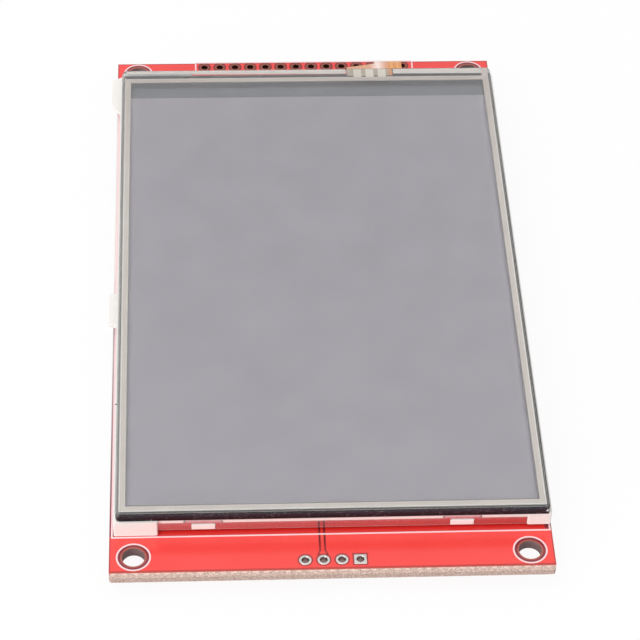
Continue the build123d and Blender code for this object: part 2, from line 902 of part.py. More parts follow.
# Chip parts stand in a row and beside the chips that they serve
resistor_spots = [(resistor_row_x + x, board_far - resistor_row_from_far, 90)
                  for x in row_places(resistor_row_count, part_step)]
transistor_side = transistor_length / 2 + part_gap
resistor_spots += [
    beside(transistor_spot, -transistor_side, 0),
    beside(transistor_spot, -transistor_side, -part_step),
    beside(transistor_spot, transistor_side, 0),
    beside(transistor_spot, 0, -transistor_span / 2 - part_gap, 0),
]
controller_side = controller_length / 2 + part_gap
regulator_side = regulator_length / 2 + part_gap
regulator_end = regulator_span / 2 + part_gap
capacitor_spots = [
    beside(controller_spot, -controller_side, 0),
    beside(controller_spot, -controller_side - part_step, 0),
    beside(controller_spot, controller_side, 0),
    beside(regulator_spot, -regulator_side, 0),
    beside(regulator_spot, -part_step / 2, -regulator_end),
    beside(regulator_spot, part_step / 2, -regulator_end),
]


def chip_part_body(height):
    core = chip_part_length - 2 * end_cap_length
    middle = block(-core / 2, core / 2, -chip_part_width / 2, chip_part_width / 2,
                   end_cap_wall, height)
    inner = block(-chip_part_length / 2 + end_cap_wall, chip_part_length / 2 - end_cap_wall,
                  -chip_part_width / 2 + end_cap_wall, chip_part_width / 2 - end_cap_wall,
                  end_cap_wall, height - end_cap_wall)
    return middle + inner


def chip_part_ends(height):
    ends = []
    for side in (-1, 1):
        inside, outside = chip_part_length / 2 - end_cap_length, chip_part_length / 2
        cap = block(*sorted((side * inside, side * outside)), -chip_part_width / 2,
                    chip_part_width / 2, 0, height)
        cap -= block(*sorted((side * (inside - past), side * (outside - end_cap_wall))),
                     -chip_part_width / 2 + end_cap_wall, chip_part_width / 2 - end_cap_wall,
                     end_cap_wall, height - end_cap_wall)
        ends.append(cap)
    return ends


def spread(shapes, spots):
    placed = []
    for x, y, turn in spots:
        placed += [on_back(shape, x, y, turn) for shape in shapes]
    return placed


nodes = {
    "circuit_board": circuit_board,
    "mounting_tape": mounting_tape,
    "backlight_tray": backlight_tray,
    "backlight_frame": backlight_frame,
    "reflector_sheet": reflector_sheet,
    "light_guide": light_guide,
    "diffuser_sheet": lambda: optical_sheet(guide_top, diffuser_thickness),
    "prism_sheet_lower": lambda: optical_sheet(prism_lower_bottom, prism_thickness),
    "prism_sheet_upper": lambda: optical_sheet(prism_upper_bottom, prism_thickness),
    "backlight_leds": backlight_leds,
    "backlight_strip": backlight_strip,
    "rim_tape": rim_tape,
    "rear_polarizer": rear_polarizer,
    "array_glass": array_glass,
    "colour_filter_glass": colour_filter_glass,
    "front_polarizer": front_polarizer,
    "driver_chip": driver_chip,
    "ledge_cover_tape": ledge_cover_tape,
    "display_flex": display_flex,
    "display_flex_joints": display_flex_joints,
    "touch_adhesive": touch_adhesive,
    "touch_glass": touch_glass,
    "touch_border": touch_border,
    "touch_electrodes": touch_electrodes,
    "touch_film": touch_film,
    "touch_flex": touch_flex,
    "touch_flex_joints": touch_flex_joints,
    "card_socket_shell": card_socket_shell,
    "card_socket_body": card_socket_body,
    "card_socket_contacts": card_socket_contacts,
    "touch_controller_body": touch_controller_body,
    "touch_controller_leads": touch_controller_leads,
    "regulator_body": regulator_body,
    "regulator_leads": regulator_leads,
    "transistor_body": transistor_body,
    "transistor_leads": transistor_leads,
    "resistor_bodies": lambda: spread([chip_part_body(resistor_height)], resistor_spots),
    "resistor_ends": lambda: spread(chip_part_ends(resistor_height), resistor_spots),
    "capacitor_bodies": lambda: spread([chip_part_body(capacitor_height)], capacitor_spots),
    "capacitor_ends": lambda: spread(chip_part_ends(capacitor_height), capacitor_spots),
}

os.makedirs("parts", exist_ok=True)
for name, make in nodes.items():
    save(name, make())
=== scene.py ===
import math

import bmesh
import bpy
from mathutils import Matrix, Vector


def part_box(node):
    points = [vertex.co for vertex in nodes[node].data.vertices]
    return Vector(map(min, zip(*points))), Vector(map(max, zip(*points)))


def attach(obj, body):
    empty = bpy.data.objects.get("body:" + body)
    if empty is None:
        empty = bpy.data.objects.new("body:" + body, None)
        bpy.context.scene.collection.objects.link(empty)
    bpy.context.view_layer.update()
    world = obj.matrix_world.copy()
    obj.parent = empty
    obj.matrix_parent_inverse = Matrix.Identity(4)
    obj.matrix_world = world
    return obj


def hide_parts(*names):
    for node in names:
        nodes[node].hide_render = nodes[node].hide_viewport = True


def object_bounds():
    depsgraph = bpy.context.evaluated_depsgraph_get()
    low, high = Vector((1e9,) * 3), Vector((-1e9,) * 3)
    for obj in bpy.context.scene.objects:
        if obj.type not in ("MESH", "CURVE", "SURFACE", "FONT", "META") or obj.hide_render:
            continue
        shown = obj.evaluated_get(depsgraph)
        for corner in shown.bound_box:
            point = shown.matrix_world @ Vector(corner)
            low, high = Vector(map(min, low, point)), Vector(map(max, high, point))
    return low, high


# Looks of the display module. Sizes are in millimetres and become metres where meshes are made.

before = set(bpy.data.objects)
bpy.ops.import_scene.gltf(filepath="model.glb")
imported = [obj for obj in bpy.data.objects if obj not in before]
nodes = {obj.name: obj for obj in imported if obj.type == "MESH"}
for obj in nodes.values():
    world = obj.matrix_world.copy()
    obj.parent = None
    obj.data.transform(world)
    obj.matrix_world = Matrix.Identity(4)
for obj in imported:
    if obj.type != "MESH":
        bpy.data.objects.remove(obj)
cad_low, cad_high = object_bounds()
MM = 0.001


def limits(node):
    """Lowest and highest corner of a CAD node, in millimetres."""
    low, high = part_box(node)
    return low / MM, high / MM


board_low, board_high = limits("circuit_board")
frame_low, frame_high = limits("backlight_frame")
glass_low, glass_high = limits("touch_glass")
BOARD_TOP = board_high.z
BOARD_BACK = board_low.z

# Holes of the board
MOUNT_X, MOUNT_Y, MOUNT_RADIUS = 27.5, 51.2, 1.6
PIN_PITCH, PIN_RADIUS, PAD_RADIUS = 2.54, 0.525, 0.875
HEADER_COUNT, HEADER_Y = 14, 52.75
CARD_HEADER_COUNT, CARD_HEADER_Y = 4, -52.25

# Thin layers on the board
SILK_RISE, SILK_LINE = 0.03, 0.24
TRACK_RISE = 0.012

# White lines of the front: round the far row of holes and round the display
HEADER_BOX = (-17.98, 18.2, HEADER_Y - 1.3, HEADER_Y + 1.12)
DISPLAY_BOX = (-30.52, 30.62, -47.7, 47.5)

# Printed border: its far edge, apart from its run to the edge of the glass, and its width
BORDER_FAR, BORDER_WIDTH = 44.85, 1.02

# Edges of the solder mask and of the copper under it
MASK_END = board_high.y - 0.55
POUR_EDGE_GAP, POUR_SIDE_GAP = 0.2, 0.95
HOLE_MASK_GAP, HOLE_COPPER_GAP = 0.22, 0.58

# Bend at the foot of the tray's walls, painted as a pinkish highlight band, and how far the walls
# lean out
TRAY_BEND_LOW, TRAY_BEND_HIGH = 1.72, 2.12
WALL_LEAN = 0.17

# Two painted glints on small chips in the near edge of the touch glass, as (x, z, radius), and the
# frame's gate mark
GLASS_GLINTS = ((-25.0, glass_low.z + 0.08, 0.11), (glass_high.x - 0.35, 5.3, 0.2))
GATE_X, GATE_Y, GATE_RADIUS = -30.13, -25.32, 0.13


# Materials


def srgb(red, green, blue):
    """Scene colour of a screen colour from 0 to 255."""
    channels = []
    for value in (red, green, blue):
        share = value / 255
        low = share / 12.92
        high = ((share + 0.055) / 1.055) ** 2.4
        channels.append(low if share <= 0.04045 else high)
    return (*channels, 1.0)


class Shader:
    """A material with one Principled BSDF, and short calls for the nodes that feed it."""

    def __init__(self, name, sockets=None):
        self.material = bpy.data.materials.new(name)
        self.material.use_nodes = True
        self.tree = self.material.node_tree
        self.bsdf = self.tree.nodes["Principled BSDF"]
        for key, value in (sockets or {}).items():
            self.bsdf.inputs[key].default_value = value
        coordinates = self.tree.nodes.new("ShaderNodeTexCoord").outputs["Object"]
        self.place = self.node("ShaderNodeVectorMath", {0: coordinates, "Scale": 1 / MM},
                               operation="SCALE").outputs["Vector"]

    def node(self, kind, inputs, **settings):
        made = self.tree.nodes.new(kind)
        for key, value in settings.items():
            setattr(made, key, value)
        for key, value in inputs.items():
            self.feed(made.inputs[key], value)
        return made

    def feed(self, socket, value):
        if isinstance(value, bpy.types.NodeSocket):
            self.tree.links.new(value, socket)
        else:
            socket.default_value = value

    def math(self, operation, a, b=0.0):
        return self.node("ShaderNodeMath", {0: a, 1: b}, operation=operation).outputs[0]

    def axis(self, letter, vector=None):
        split = self.node("ShaderNodeSeparateXYZ", {0: vector or self.place})
        return split.outputs[letter]

    def stretched(self, x, y, z):
        return self.node("ShaderNodeVectorMath", {0: self.place, 1: (x, y, z)},
                         operation="MULTIPLY").outputs["Vector"]

    def noise(self, scale, detail=3.0, vector=None):
        inputs = {"Vector": vector or self.place, "Scale": scale, "Detail": detail}
        return self.node("ShaderNodeTexNoise", inputs).outputs["Fac"]

    def between(self, value, low, high):
        """1 where value lies between two limits, else 0."""
        above = self.math("GREATER_THAN", value, low)
        below = self.math("LESS_THAN", value, high)
        return self.math("MULTIPLY", above, below)

    def ramp(self, value, low, high):
        """Value turned into 0 at low and 1 at high."""
        inputs = {"Value": value, "From Min": low, "From Max": high}
        return self.node("ShaderNodeMapRange", inputs).outputs["Result"]

    def span(self, value, at_zero, at_one):
        """Value from 0 to 1 turned into another range."""
        inputs = {"Value": value, "To Min": at_zero, "To Max": at_one}
        return self.node("ShaderNodeMapRange", inputs).outputs["Result"]

    def mix(self, share, a, b):
        return self.node("ShaderNodeMix", {0: share, 6: a, 7: b}, data_type="RGBA").outputs[2]

    def facing(self):
        """How far the face itself turns up or down: 1 on top, -1 underneath."""
        return self.axis("Z", self.node("ShaderNodeNewGeometry", {}).outputs["True Normal"])

    def distance(self, a, a_middle, b, b_middle):
        """Distance from a point, in the plane of two axes."""
        squares = [self.math("POWER", self.math("SUBTRACT", value, middle), 2.0)
                   for value, middle in ((a, a_middle), (b, b_middle))]
        return self.math("SQRT", self.math("ADD", *squares))

    def outside(self, x_middle, x_half, y_middle, y_half):
        """Distance outside a rectangle in plan, negative inside it."""
        across = self.math("ABSOLUTE", self.math("SUBTRACT", self.axis("X"), x_middle))
        along = self.math("ABSOLUTE", self.math("SUBTRACT", self.axis("Y"), y_middle))
        return self.math("MAXIMUM", self.math("SUBTRACT", across, x_half),
                         self.math("SUBTRACT", along, y_half))

    def color(self, value):
        self.feed(self.bsdf.inputs["Base Color"], value)

    def roughness(self, value):
        self.feed(self.bsdf.inputs["Roughness"], value)

    def bump(self, height, depth):
        """Bump of a depth in millimetres."""
        bump = self.node("ShaderNodeBump", {"Height": height, "Strength": 1.0,
                                            "Distance": depth * MM})
        self.feed(self.bsdf.inputs["Normal"], bump.outputs["Normal"])


def plain(name, light, dark, scale, depth, roughness):
    """Material whose colour, gloss and surface vary a little with one noise."""
    shader = Shader(name)
    grain = shader.noise(scale)
    shader.color(shader.mix(grain, dark, light))
    shader.roughness(shader.span(grain, roughness * 0.85, roughness * 1.15))
    shader.bump(grain, depth)
    return shader.material


def laminate():
    """Red solder mask on both faces, with painted shade inside the display's outline, glass
    laminate on the edges and hole walls painted a darker brown as painted shade.
    """
    shader = Shader("laminate")
    x, y, z = (shader.axis(letter) for letter in "XYZ")
    on_face = shader.math("GREATER_THAN", shader.math("ABSOLUTE", shader.facing()), 0.8)
    cloud = shader.noise(0.12, 2.0)
    weave = shader.noise(2.2, 2.0)
    mask = shader.mix(cloud, srgb(246, 69, 65), srgb(252, 79, 74))
    mask = shader.mix(shader.math("MULTIPLY", weave, 0.12), mask, srgb(215, 50, 50))
    on_top = shader.math("GREATER_THAN", shader.facing(), 0.8)
    # Painted shade: on the top face the mask inside the display's outline is painted darker, for
    # the shade next to the tray's wall.
    left, right, near, far = DISPLAY_BOX
    display_shade = shader.math("LESS_THAN", shader.outside(
        (left + right) / 2, (right - left) / 2, (near + far) / 2, (far - near) / 2), 0.0)
    display_shade = shader.math("MULTIPLY", display_shade, on_top)
    mask = shader.mix(display_shade, mask, shader.mix(cloud, srgb(214, 42, 38), srgb(224, 48, 44)))
    bare = shader.mix(weave, srgb(122, 40, 50), srgb(146, 56, 64))
    rim_bare = shader.mix(weave, srgb(176, 54, 52), srgb(200, 68, 62))
    # Left rim strip on the top face: its colour runs from dark purple at the near end to near
    # white at the far end; on the right side it is the colour over bare laminate.
    side_rim = shader.mix(shader.ramp(y, -44.0, -34.0), srgb(136, 50, 68), srgb(140, 108, 112))
    side_rim = shader.mix(shader.ramp(y, -34.0, -12.0), side_rim, srgb(182, 166, 164))
    side_rim = shader.mix(shader.ramp(y, -8.0, 4.0), side_rim, srgb(226, 220, 216))
    side_rim = shader.mix(shader.math("MULTIPLY", on_top, shader.math("LESS_THAN", x, 0.0)),
                           bare, side_rim)
    from_hole = shader.distance(shader.math("ABSOLUTE", x), MOUNT_X,
                                shader.math("ABSOLUTE", y), MOUNT_Y)
    at_edge = shader.math("GREATER_THAN", shader.outside(0.0, board_high.x, 0.0, MASK_END),
                          -POUR_EDGE_GAP)
    mask = shader.mix(at_edge, mask, rim_bare)
    at_side = shader.math("MULTIPLY", shader.math(
        "GREATER_THAN", shader.math("ABSOLUTE", x), board_high.x - POUR_SIDE_GAP),
        shader.math("LESS_THAN", shader.math("ABSOLUTE", y), -frame_low.y))
    mask = shader.mix(at_side, mask, side_rim)
    at_hole = shader.math("LESS_THAN", from_hole, MOUNT_RADIUS + HOLE_COPPER_GAP)
    mask = shader.mix(at_hole, mask, bare)
    rim = shader.math("LESS_THAN", from_hole, MOUNT_RADIUS + HOLE_MASK_GAP)
    mask = shader.mix(rim, mask, srgb(176, 92, 80))
    fibres = shader.noise(1.0, 3.0, shader.stretched(2.5, 2.5, 6.0))
    speckle = shader.noise(1.0, 2.0, shader.stretched(5.0, 5.0, 9.0))
    edge = shader.mix(fibres, srgb(172, 142, 130), srgb(220, 194, 182))
    edge = shader.mix(shader.ramp(speckle, 0.55, 0.7), edge, srgb(146, 112, 100))
    edge = shader.mix(shader.ramp(speckle, 0.42, 0.3), edge, srgb(244, 224, 214))
    wave = shader.math("SINE", shader.math("MULTIPLY", shader.math(
        "ADD", x, shader.math("MULTIPLY", shader.noise(0.7, 1.0), 1.2)), 2 * math.pi / 1.5))
    dashes = shader.math("MULTIPLY", shader.ramp(wave, -0.3, 0.5), shader.between(z, 1.28, 1.44))
    edge = shader.mix(shader.math("MULTIPLY", dashes, 0.5), edge, srgb(255, 222, 206))
    edge = shader.mix(shader.math("GREATER_THAN", z, 1.48), edge, srgb(186, 72, 62))
    # Painted shade: laminate walls inside the board's outline, the hole walls, are painted darker
    # than the outer edges.
    inside = shader.math("LESS_THAN", shader.outside(0.0, board_high.x, 0.0, MASK_END), -0.4)
    edge = shader.mix(inside, edge, shader.mix(fibres, srgb(102, 80, 80), srgb(146, 120, 118)))
    shader.color(shader.mix(on_face, edge, mask))
    shader.roughness(shader.span(on_face, 0.8, 0.2))
    rough_edge = shader.math("MULTIPLY", shader.math("SUBTRACT", 1.0, on_face), fibres)
    shader.bump(shader.math("ADD", shader.math("MULTIPLY", weave, 0.3),
                            shader.math("MULTIPLY", rough_edge, 3.0)), 0.02)
    return shader.material


def silk():
    shader = Shader("silk")
    grain = shader.noise(9.0)
    shader.color(shader.mix(grain, srgb(246, 200, 203), srgb(254, 228, 230)))
    shader.roughness(0.55)
    shader.bump(grain, 0.01)
    return shader.material


def tray_steel():
    """Bright rolled sheet: its walls lean out a little, and the bend at their foot is duller, with
    a pinkish painted highlight in its colour.
    """
    shader = Shader("tray_steel")
    grain = shader.noise(1.0, 4.0, shader.stretched(1.0, 14.0, 14.0))
    patches = shader.noise(0.4, 2.0)
    bend = shader.between(shader.axis("Z"), TRAY_BEND_LOW, TRAY_BEND_HIGH)
    sheet = shader.mix(patches, srgb(216, 214, 216), srgb(228, 226, 228))
    # Painted highlight: the band of the bend is painted pinkish white and made less metallic.
    shader.color(shader.mix(bend, sheet, srgb(236, 206, 204)))
    shader.feed(shader.bsdf.inputs["Metallic"], shader.span(bend, 1.0, 0.4))
    flat = shader.span(grain, 0.12, 0.2)
    bent = shader.math("MULTIPLY", bend, 0.3)
    shader.roughness(shader.math("ADD", flat, bent))
    lean = shader.math("MULTIPLY", shader.axis("Z"), WALL_LEAN)
    shader.bump(shader.math("ADD", lean, shader.math("MULTIPLY", grain, 0.002)), 1.0)
    return shader.material


def metal(name, light, dark, roughness, lines, depth):
    """Metal with fine rolling lines: lines says how fast the grain changes along each axis."""
    shader = Shader(name, {"Metallic": 1.0})
    grain = shader.noise(1.0, 4.0, shader.stretched(*lines))
    patches = shader.noise(0.4, 2.0)
    shader.color(shader.mix(patches, dark, light))
    shader.roughness(shader.span(grain, roughness * 0.7, roughness * 1.3))
    shader.bump(grain, depth)
    return shader.material


def clear(name, tint, smudge):
    """Clear sheet whose gloss is a little uneven."""
    shader = Shader(name, {"Transmission Weight": 1.0, "IOR": 1.5})
    grain = shader.noise(0.15, 3.0)
    shader.color(shader.mix(grain, tint, srgb(255, 255, 255)))
    shader.roughness(shader.span(grain, 0.0, smudge))
    return shader.material


def polarizer():
    """Grey film of the picture area, with the fine pixel grid under it, painted lighter towards
    the near end and next to the printed border as painted light.
    """
    shader = Shader("polarizer")
    x, y = shader.axis("X"), shader.axis("Y")
    along = shader.math("SINE", shader.math("MULTIPLY", x, 2 * math.pi / 0.17))
    across = shader.math("SINE", shader.math("MULTIPLY", y, 2 * math.pi / 0.17))
    grid = shader.math("MULTIPLY", along, across)
    cloud = shader.noise(0.03, 2.0)
    base = shader.mix(cloud, srgb(195, 188, 200), srgb(202, 195, 208))
    # Painted light: the film is painted lighter towards the near end.
    base = shader.mix(shader.ramp(y, 30.0, -42.0), base, srgb(214, 207, 219))
    low, high = limits("touch_border")
    half_x, half_y = (high.x - low.x) / 2, (BORDER_FAR - low.y) / 2
    inside = shader.math("MULTIPLY", shader.outside(
        (low.x + high.x) / 2, half_x - BORDER_WIDTH,
        (low.y + BORDER_FAR) / 2, half_y - BORDER_WIDTH), -1.0)
    # Painted light: the film is painted lighter within about a millimetre of the printed border,
    # against the shade the border casts on it.
    base = shader.mix(shader.math("MULTIPLY", shader.ramp(inside, 1.1, 0.1), 0.8),
                      base, srgb(222, 214, 228))
    shader.color(shader.mix(shader.ramp(grid, 0.3, 4.0), base, srgb(140, 138, 148)))
    shader.roughness(0.3)
    shader.bump(shader.noise(4.0), 0.002)
    return shader.material


def border_print():
    """Beige insulating print: fine bands along it, a painted highlight line along its outer edge,
    a painted shadow line along its inner edge and painted shade towards the far end.
    """
    shader = Shader("border_print")
    low, high = limits("touch_border")
    far = BORDER_FAR
    middle_x, half_x = (low.x + high.x) / 2, (high.x - low.x) / 2
    middle_y, half_y = (low.y + far) / 2, (far - low.y) / 2
    depth = shader.math("MULTIPLY", shader.outside(middle_x, half_x, middle_y, half_y), -1.0)
    bands = shader.math("SINE", shader.math("MULTIPLY", depth, 2 * math.pi / 0.34))
    grain = shader.noise(1.5)
    base = shader.mix(grain, srgb(210, 201, 193), srgb(222, 214, 206))
    base = shader.mix(shader.ramp(bands, 0.2, 2.4), base, srgb(238, 232, 225))
    # Painted highlight: a light line along the outer edge, for the film's edge catching the light.
    base = shader.mix(shader.math("LESS_THAN", depth, 0.2), base, srgb(236, 231, 225))
    # Painted shadow: a dark line along the inner edge, for the shadow of the adhesive edge under
    # the print.
    base = shader.mix(shader.between(depth, 0.93, 1.1), base, srgb(150, 142, 144))
    # Painted shade: the print is painted darker towards the far end.
    far_shade = shader.math("MULTIPLY", shader.ramp(shader.axis("Y"), 20.0, 45.0), 0.6)
    base = shader.mix(far_shade, base, srgb(190, 178, 170))
    shader.color(base)
    shader.roughness(0.5)
    shader.bump(shader.math("ADD", bands, grain), 0.004)
    return shader.material


def flex():
    """Amber coverlay with copper lines under it, painted paler where it is seen against the light,
    with a painted glare band on its neck.
    """
    shader = Shader("flex", {"Coat Weight": 0.4, "Coat Roughness": 0.15})
    x = shader.axis("X")
    wave = shader.math("SINE", shader.math("MULTIPLY", x, 2 * math.pi / 1.0))
    lines = shader.ramp(wave, 0.1, 0.4)
    grain = shader.noise(2.5)
    amber = shader.mix(grain, srgb(206, 132, 70), srgb(226, 156, 96))
    amber = shader.mix(shader.math("MULTIPLY", lines, 0.35), amber, srgb(240, 186, 124))
    # Painted light: the wide part of the tail is painted paler, as seen against the light.
    pale = shader.mix(grain, srgb(206, 148, 116), srgb(224, 172, 142))
    # Painted highlight: a pinkish white glare band across the neck.
    pale = shader.mix(shader.math("MULTIPLY", shader.ramp(x, 10.6, 11.9),
                                  shader.ramp(x, 13.2, 12.1)), pale, srgb(244, 222, 216))
    under_film = shader.math("LESS_THAN", shader.axis("Y"), glass_high.y)
    pale = shader.mix(under_film, pale, srgb(186, 170, 152))
    is_pale = shader.math("MULTIPLY", shader.ramp(x, 13.9, 13.4), shader.ramp(x, 6.0, 6.5))
    shader.color(shader.mix(is_pale, amber, pale))
    shader.roughness(0.35)
    shader.bump(lines, 0.01)
    return shader.material


def plating_metal(name, ring_dark, ring_light, wall_dark, wall_light):
    """Ring round a hole in one colour, and the wall of the hole painted darker as painted shade
    inside the hole.
    """
    shader = Shader(name, {"Metallic": 1.0})
    grain = shader.noise(3.0)
    ring = shader.mix(grain, ring_dark, ring_light)
    # Painted shade: the wall is painted darker than the ring.
    shaded_wall = shader.mix(grain, wall_dark, wall_light)
    wall = shader.math("LESS_THAN", shader.math("ABSOLUTE", shader.facing()), 0.25)
    shader.color(shader.mix(wall, ring, shaded_wall))
    shader.roughness(shader.span(grain, 0.25, 0.4))
    shader.bump(grain, 0.01)
    return shader.material


def glass_edge():
    """Near edge of the touch glass, painted nearly black as painted shade for the dark seen
    through its clear edge, darker towards the bottom, with a few bright flecks and two painted
    glints.
    """
    shader = Shader("glass_edge", {"Specular IOR Level": 0.1})
    low, high = glass_low.z, glass_high.z
    rise = shader.ramp(shader.axis("Z"), low, high)
    dark = shader.mix(rise, srgb(18, 12, 12), srgb(58, 50, 58))
    flecks = shader.ramp(shader.noise(1.0, 2.0, shader.stretched(2.0, 2.0, 9.0)), 0.64, 0.7)
    dark = shader.mix(shader.math("MULTIPLY", flecks, 0.6), dark, srgb(150, 138, 140))
    for x, z, radius in GLASS_GLINTS:
        # Painted highlight: a near white spot at each glint on a small chip.
        from_glint = shader.distance(shader.axis("X"), x, shader.axis("Z"), z)
        dark = shader.mix(shader.math("LESS_THAN", from_glint, radius), dark, srgb(240, 234, 230))
    shader.color(dark)
    shader.roughness(0.35)
    shader.bump(flecks, 0.01)
    return shader.material


def ground_edge():
    """Ground edge of clear glass, which passes light but shows no picture."""
    shader = Shader("ground_edge", {"Transmission Weight": 1.0, "IOR": 1.5})
    grain = shader.noise(5.0)
    shader.color(shader.mix(grain, srgb(236, 230, 224), srgb(250, 247, 243)))
    shader.roughness(shader.span(grain, 0.6, 0.8))
    return shader.material


def adhesive():
    """Black tape, grey along its left edge."""
    shader = Shader("adhesive")
    grain = shader.noise(3.0)
    black = shader.mix(grain, srgb(16, 13, 22), srgb(28, 24, 34))
    left_grey = shader.ramp(shader.axis("X"), glass_low.x + 0.7, glass_low.x + 0.25)
    shader.color(shader.mix(left_grey, black, srgb(164, 161, 157)))
    shader.roughness(0.5)
    shader.bump(grain, 0.01)
    return shader.material


def moulded_white():
    """Moulded frame, with one small dark gate mark on its left rim."""
    shader = Shader("moulded_white")
    grain = shader.noise(1.5)
    white = shader.mix(grain, srgb(242, 238, 233), srgb(249, 246, 242))
    from_gate = shader.distance(shader.axis("X"), GATE_X, shader.axis("Y"), GATE_Y)
    shader.color(shader.mix(shader.math("LESS_THAN", from_gate, GATE_RADIUS), white,
                            srgb(70, 64, 62)))
    shader.roughness(shader.span(grain, 0.34, 0.46))
    shader.bump(grain, 0.01)
    return shader.material


def clearance():
    """Mask over a gap in the copper: dark, and paler towards the near row of holes on the top
    face; the dark further from the row there is painted shade from the display.
    """
    shader = Shader("clearance")
    y = shader.axis("Y")
    grain = shader.noise(4.0)
    dark = shader.mix(grain, srgb(104, 14, 20), srgb(124, 22, 28))
    pale = shader.mix(grain, srgb(158, 46, 48), srgb(176, 56, 56))
    painted_shade_fade = shader.math("MULTIPLY", shader.ramp(y, CARD_HEADER_Y + 3.4, CARD_HEADER_Y + 1.6),
                         shader.math("GREATER_THAN", shader.facing(), -0.5))
    shader.color(shader.mix(painted_shade_fade, dark, pale))
    shader.roughness(0.35)
    shader.bump(grain, 0.005)
    return shader.material


def resistor_ceramic():
    """White ceramic block with a black glazed top."""
    shader = Shader("resistor_ceramic")
    top = shader.math("LESS_THAN", shader.facing(), -0.5)
    grain = shader.noise(8.0)
    black = shader.mix(grain, srgb(22, 22, 26), srgb(38, 38, 44))
    white = shader.mix(grain, srgb(216, 212, 206), srgb(236, 232, 226))
    shader.color(shader.mix(top, white, black))
    shader.roughness(0.4)
    shader.bump(grain, 0.01)
    return shader.material


def prism_film():
    shader = Shader("prism_film")
    ribs = shader.math("SINE", shader.math("MULTIPLY", shader.axis("X"), 2 * math.pi / 0.05))
    shader.color(shader.mix(shader.ramp(ribs, -1.0, 1.0), srgb(205, 208, 212),
                            srgb(225, 228, 232)))
    shader.roughness(0.25)
    shader.bump(ribs, 0.01)
    return shader.material


board_material = laminate()
silk_material = silk()
tin = metal("tin", srgb(232, 230, 226), srgb(205, 203, 200), 0.3, (3.0, 3.0, 3.0), 0.01)
steel = metal("steel", srgb(222, 221, 223), srgb(214, 213, 216), 0.2, (1.0, 14.0, 14.0), 0.002)
gold = metal("gold", srgb(236, 200, 120), srgb(212, 172, 92), 0.25, (2.0, 12.0, 12.0), 0.004)
solder = metal("solder", srgb(222, 222, 222), srgb(190, 190, 192), 0.3, (2.0, 2.0, 2.0), 0.02)
white_plastic = plain("white_plastic", srgb(254, 250, 245), srgb(247, 241, 234), 1.5, 0.01, 0.4)
white_film = plain("white_film", srgb(244, 244, 246), srgb(232, 232, 236), 2.0, 0.005, 0.4)
white_tape = plain("white_tape", srgb(232, 230, 224), srgb(214, 210, 202), 3.0, 0.02, 0.7)
black_tape = plain("black_tape", srgb(44, 43, 46), srgb(30, 29, 32), 3.0, 0.01, 0.5)
ledge_tape = plain("ledge_tape", srgb(129, 131, 143), srgb(118, 120, 131), 0.5, 0.01, 0.5)
black_plastic = plain("black_plastic", srgb(40, 40, 42), srgb(26, 26, 28), 4.0, 0.02, 0.5)
chip_plastic = plain("chip_plastic", srgb(48, 48, 50), srgb(34, 34, 36), 10.0, 0.015, 0.6)
silicon = plain("silicon", srgb(70, 72, 82), srgb(52, 54, 62), 3.0, 0.002, 0.15)
capacitor = plain("capacitor", srgb(190, 156, 118), srgb(164, 128, 92), 6.0, 0.015, 0.6)
silver_print = plain("silver_print", srgb(240, 234, 220), srgb(218, 210, 196), 5.0, 0.01, 0.45)
far_print = plain("far_print", srgb(234, 227, 221), srgb(220, 212, 206), 1.2, 0.005, 0.5)
guide_plastic = clear("guide_plastic", srgb(250, 252, 252), 0.1)
cell_glass = clear("cell_glass", srgb(240, 248, 246), 0.02)
touch_glass_clear = clear("touch_glass", srgb(249, 251, 251), 0.02)
touch_film_clear = clear("touch_film", srgb(250, 250, 250), 0.06)
flex_material = flex()
plating_tin = plating_metal("plating_bright", srgb(208, 204, 200), srgb(238, 236, 232),
                            srgb(112, 92, 90), srgb(160, 136, 132))
# Painted reflection and shade: the far row's rings and hole walls are painted brown, for the red
# board mirrored in the tin and the shade by the display.
plating_painted_brown = plating_metal("plating_painted_reflection", srgb(142, 84, 74), srgb(172, 108, 94),
                              srgb(70, 38, 36), srgb(98, 60, 54))
mask_dark = plain("mask_dark", srgb(158, 40, 42), srgb(138, 30, 36), 4.0, 0.005, 0.35)
mask_light = plain("mask_light", srgb(255, 88, 82), srgb(248, 76, 71), 4.0, 0.005, 0.25)

node_materials = {
    "circuit_board": board_material,
    "mounting_tape": white_tape,
    "backlight_tray": tray_steel(),
    "backlight_frame": moulded_white(),
    "reflector_sheet": white_film,
    "light_guide": guide_plastic,
    "diffuser_sheet": white_film,
    "prism_sheet_lower": prism_film(),
    "prism_sheet_upper": prism_film(),
    "backlight_leds": white_plastic,
    "backlight_strip": flex_material,
    "rim_tape": black_tape,
    "rear_polarizer": polarizer(),
    "array_glass": cell_glass,
    "colour_filter_glass": cell_glass,
    "front_polarizer": polarizer(),
    "driver_chip": silicon,
    "ledge_cover_tape": ledge_tape,
    "display_flex": flex_material,
    "display_flex_joints": solder,
    "touch_adhesive": adhesive(),
    "touch_glass": touch_glass_clear,
    "touch_border": border_print(),
    "touch_electrodes": silver_print,
    "touch_film": touch_film_clear,
    "touch_flex": flex_material,
    "touch_flex_joints": solder,
    "card_socket_shell": steel,
    "card_socket_body": black_plastic,
    "card_socket_contacts": gold,
    "touch_controller_body": chip_plastic,
    "touch_controller_leads": tin,
    "regulator_body": chip_plastic,
    "regulator_leads": tin,
    "transistor_body": chip_plastic,
    "transistor_leads": tin,
    "resistor_bodies": resistor_ceramic(),
    "resistor_ends": tin,
    "capacitor_bodies": capacitor,
    "capacitor_ends": tin,
}

for node, material in node_materials.items():
    for slot in nodes[node].material_slots:
        slot.material = material


# Meshes


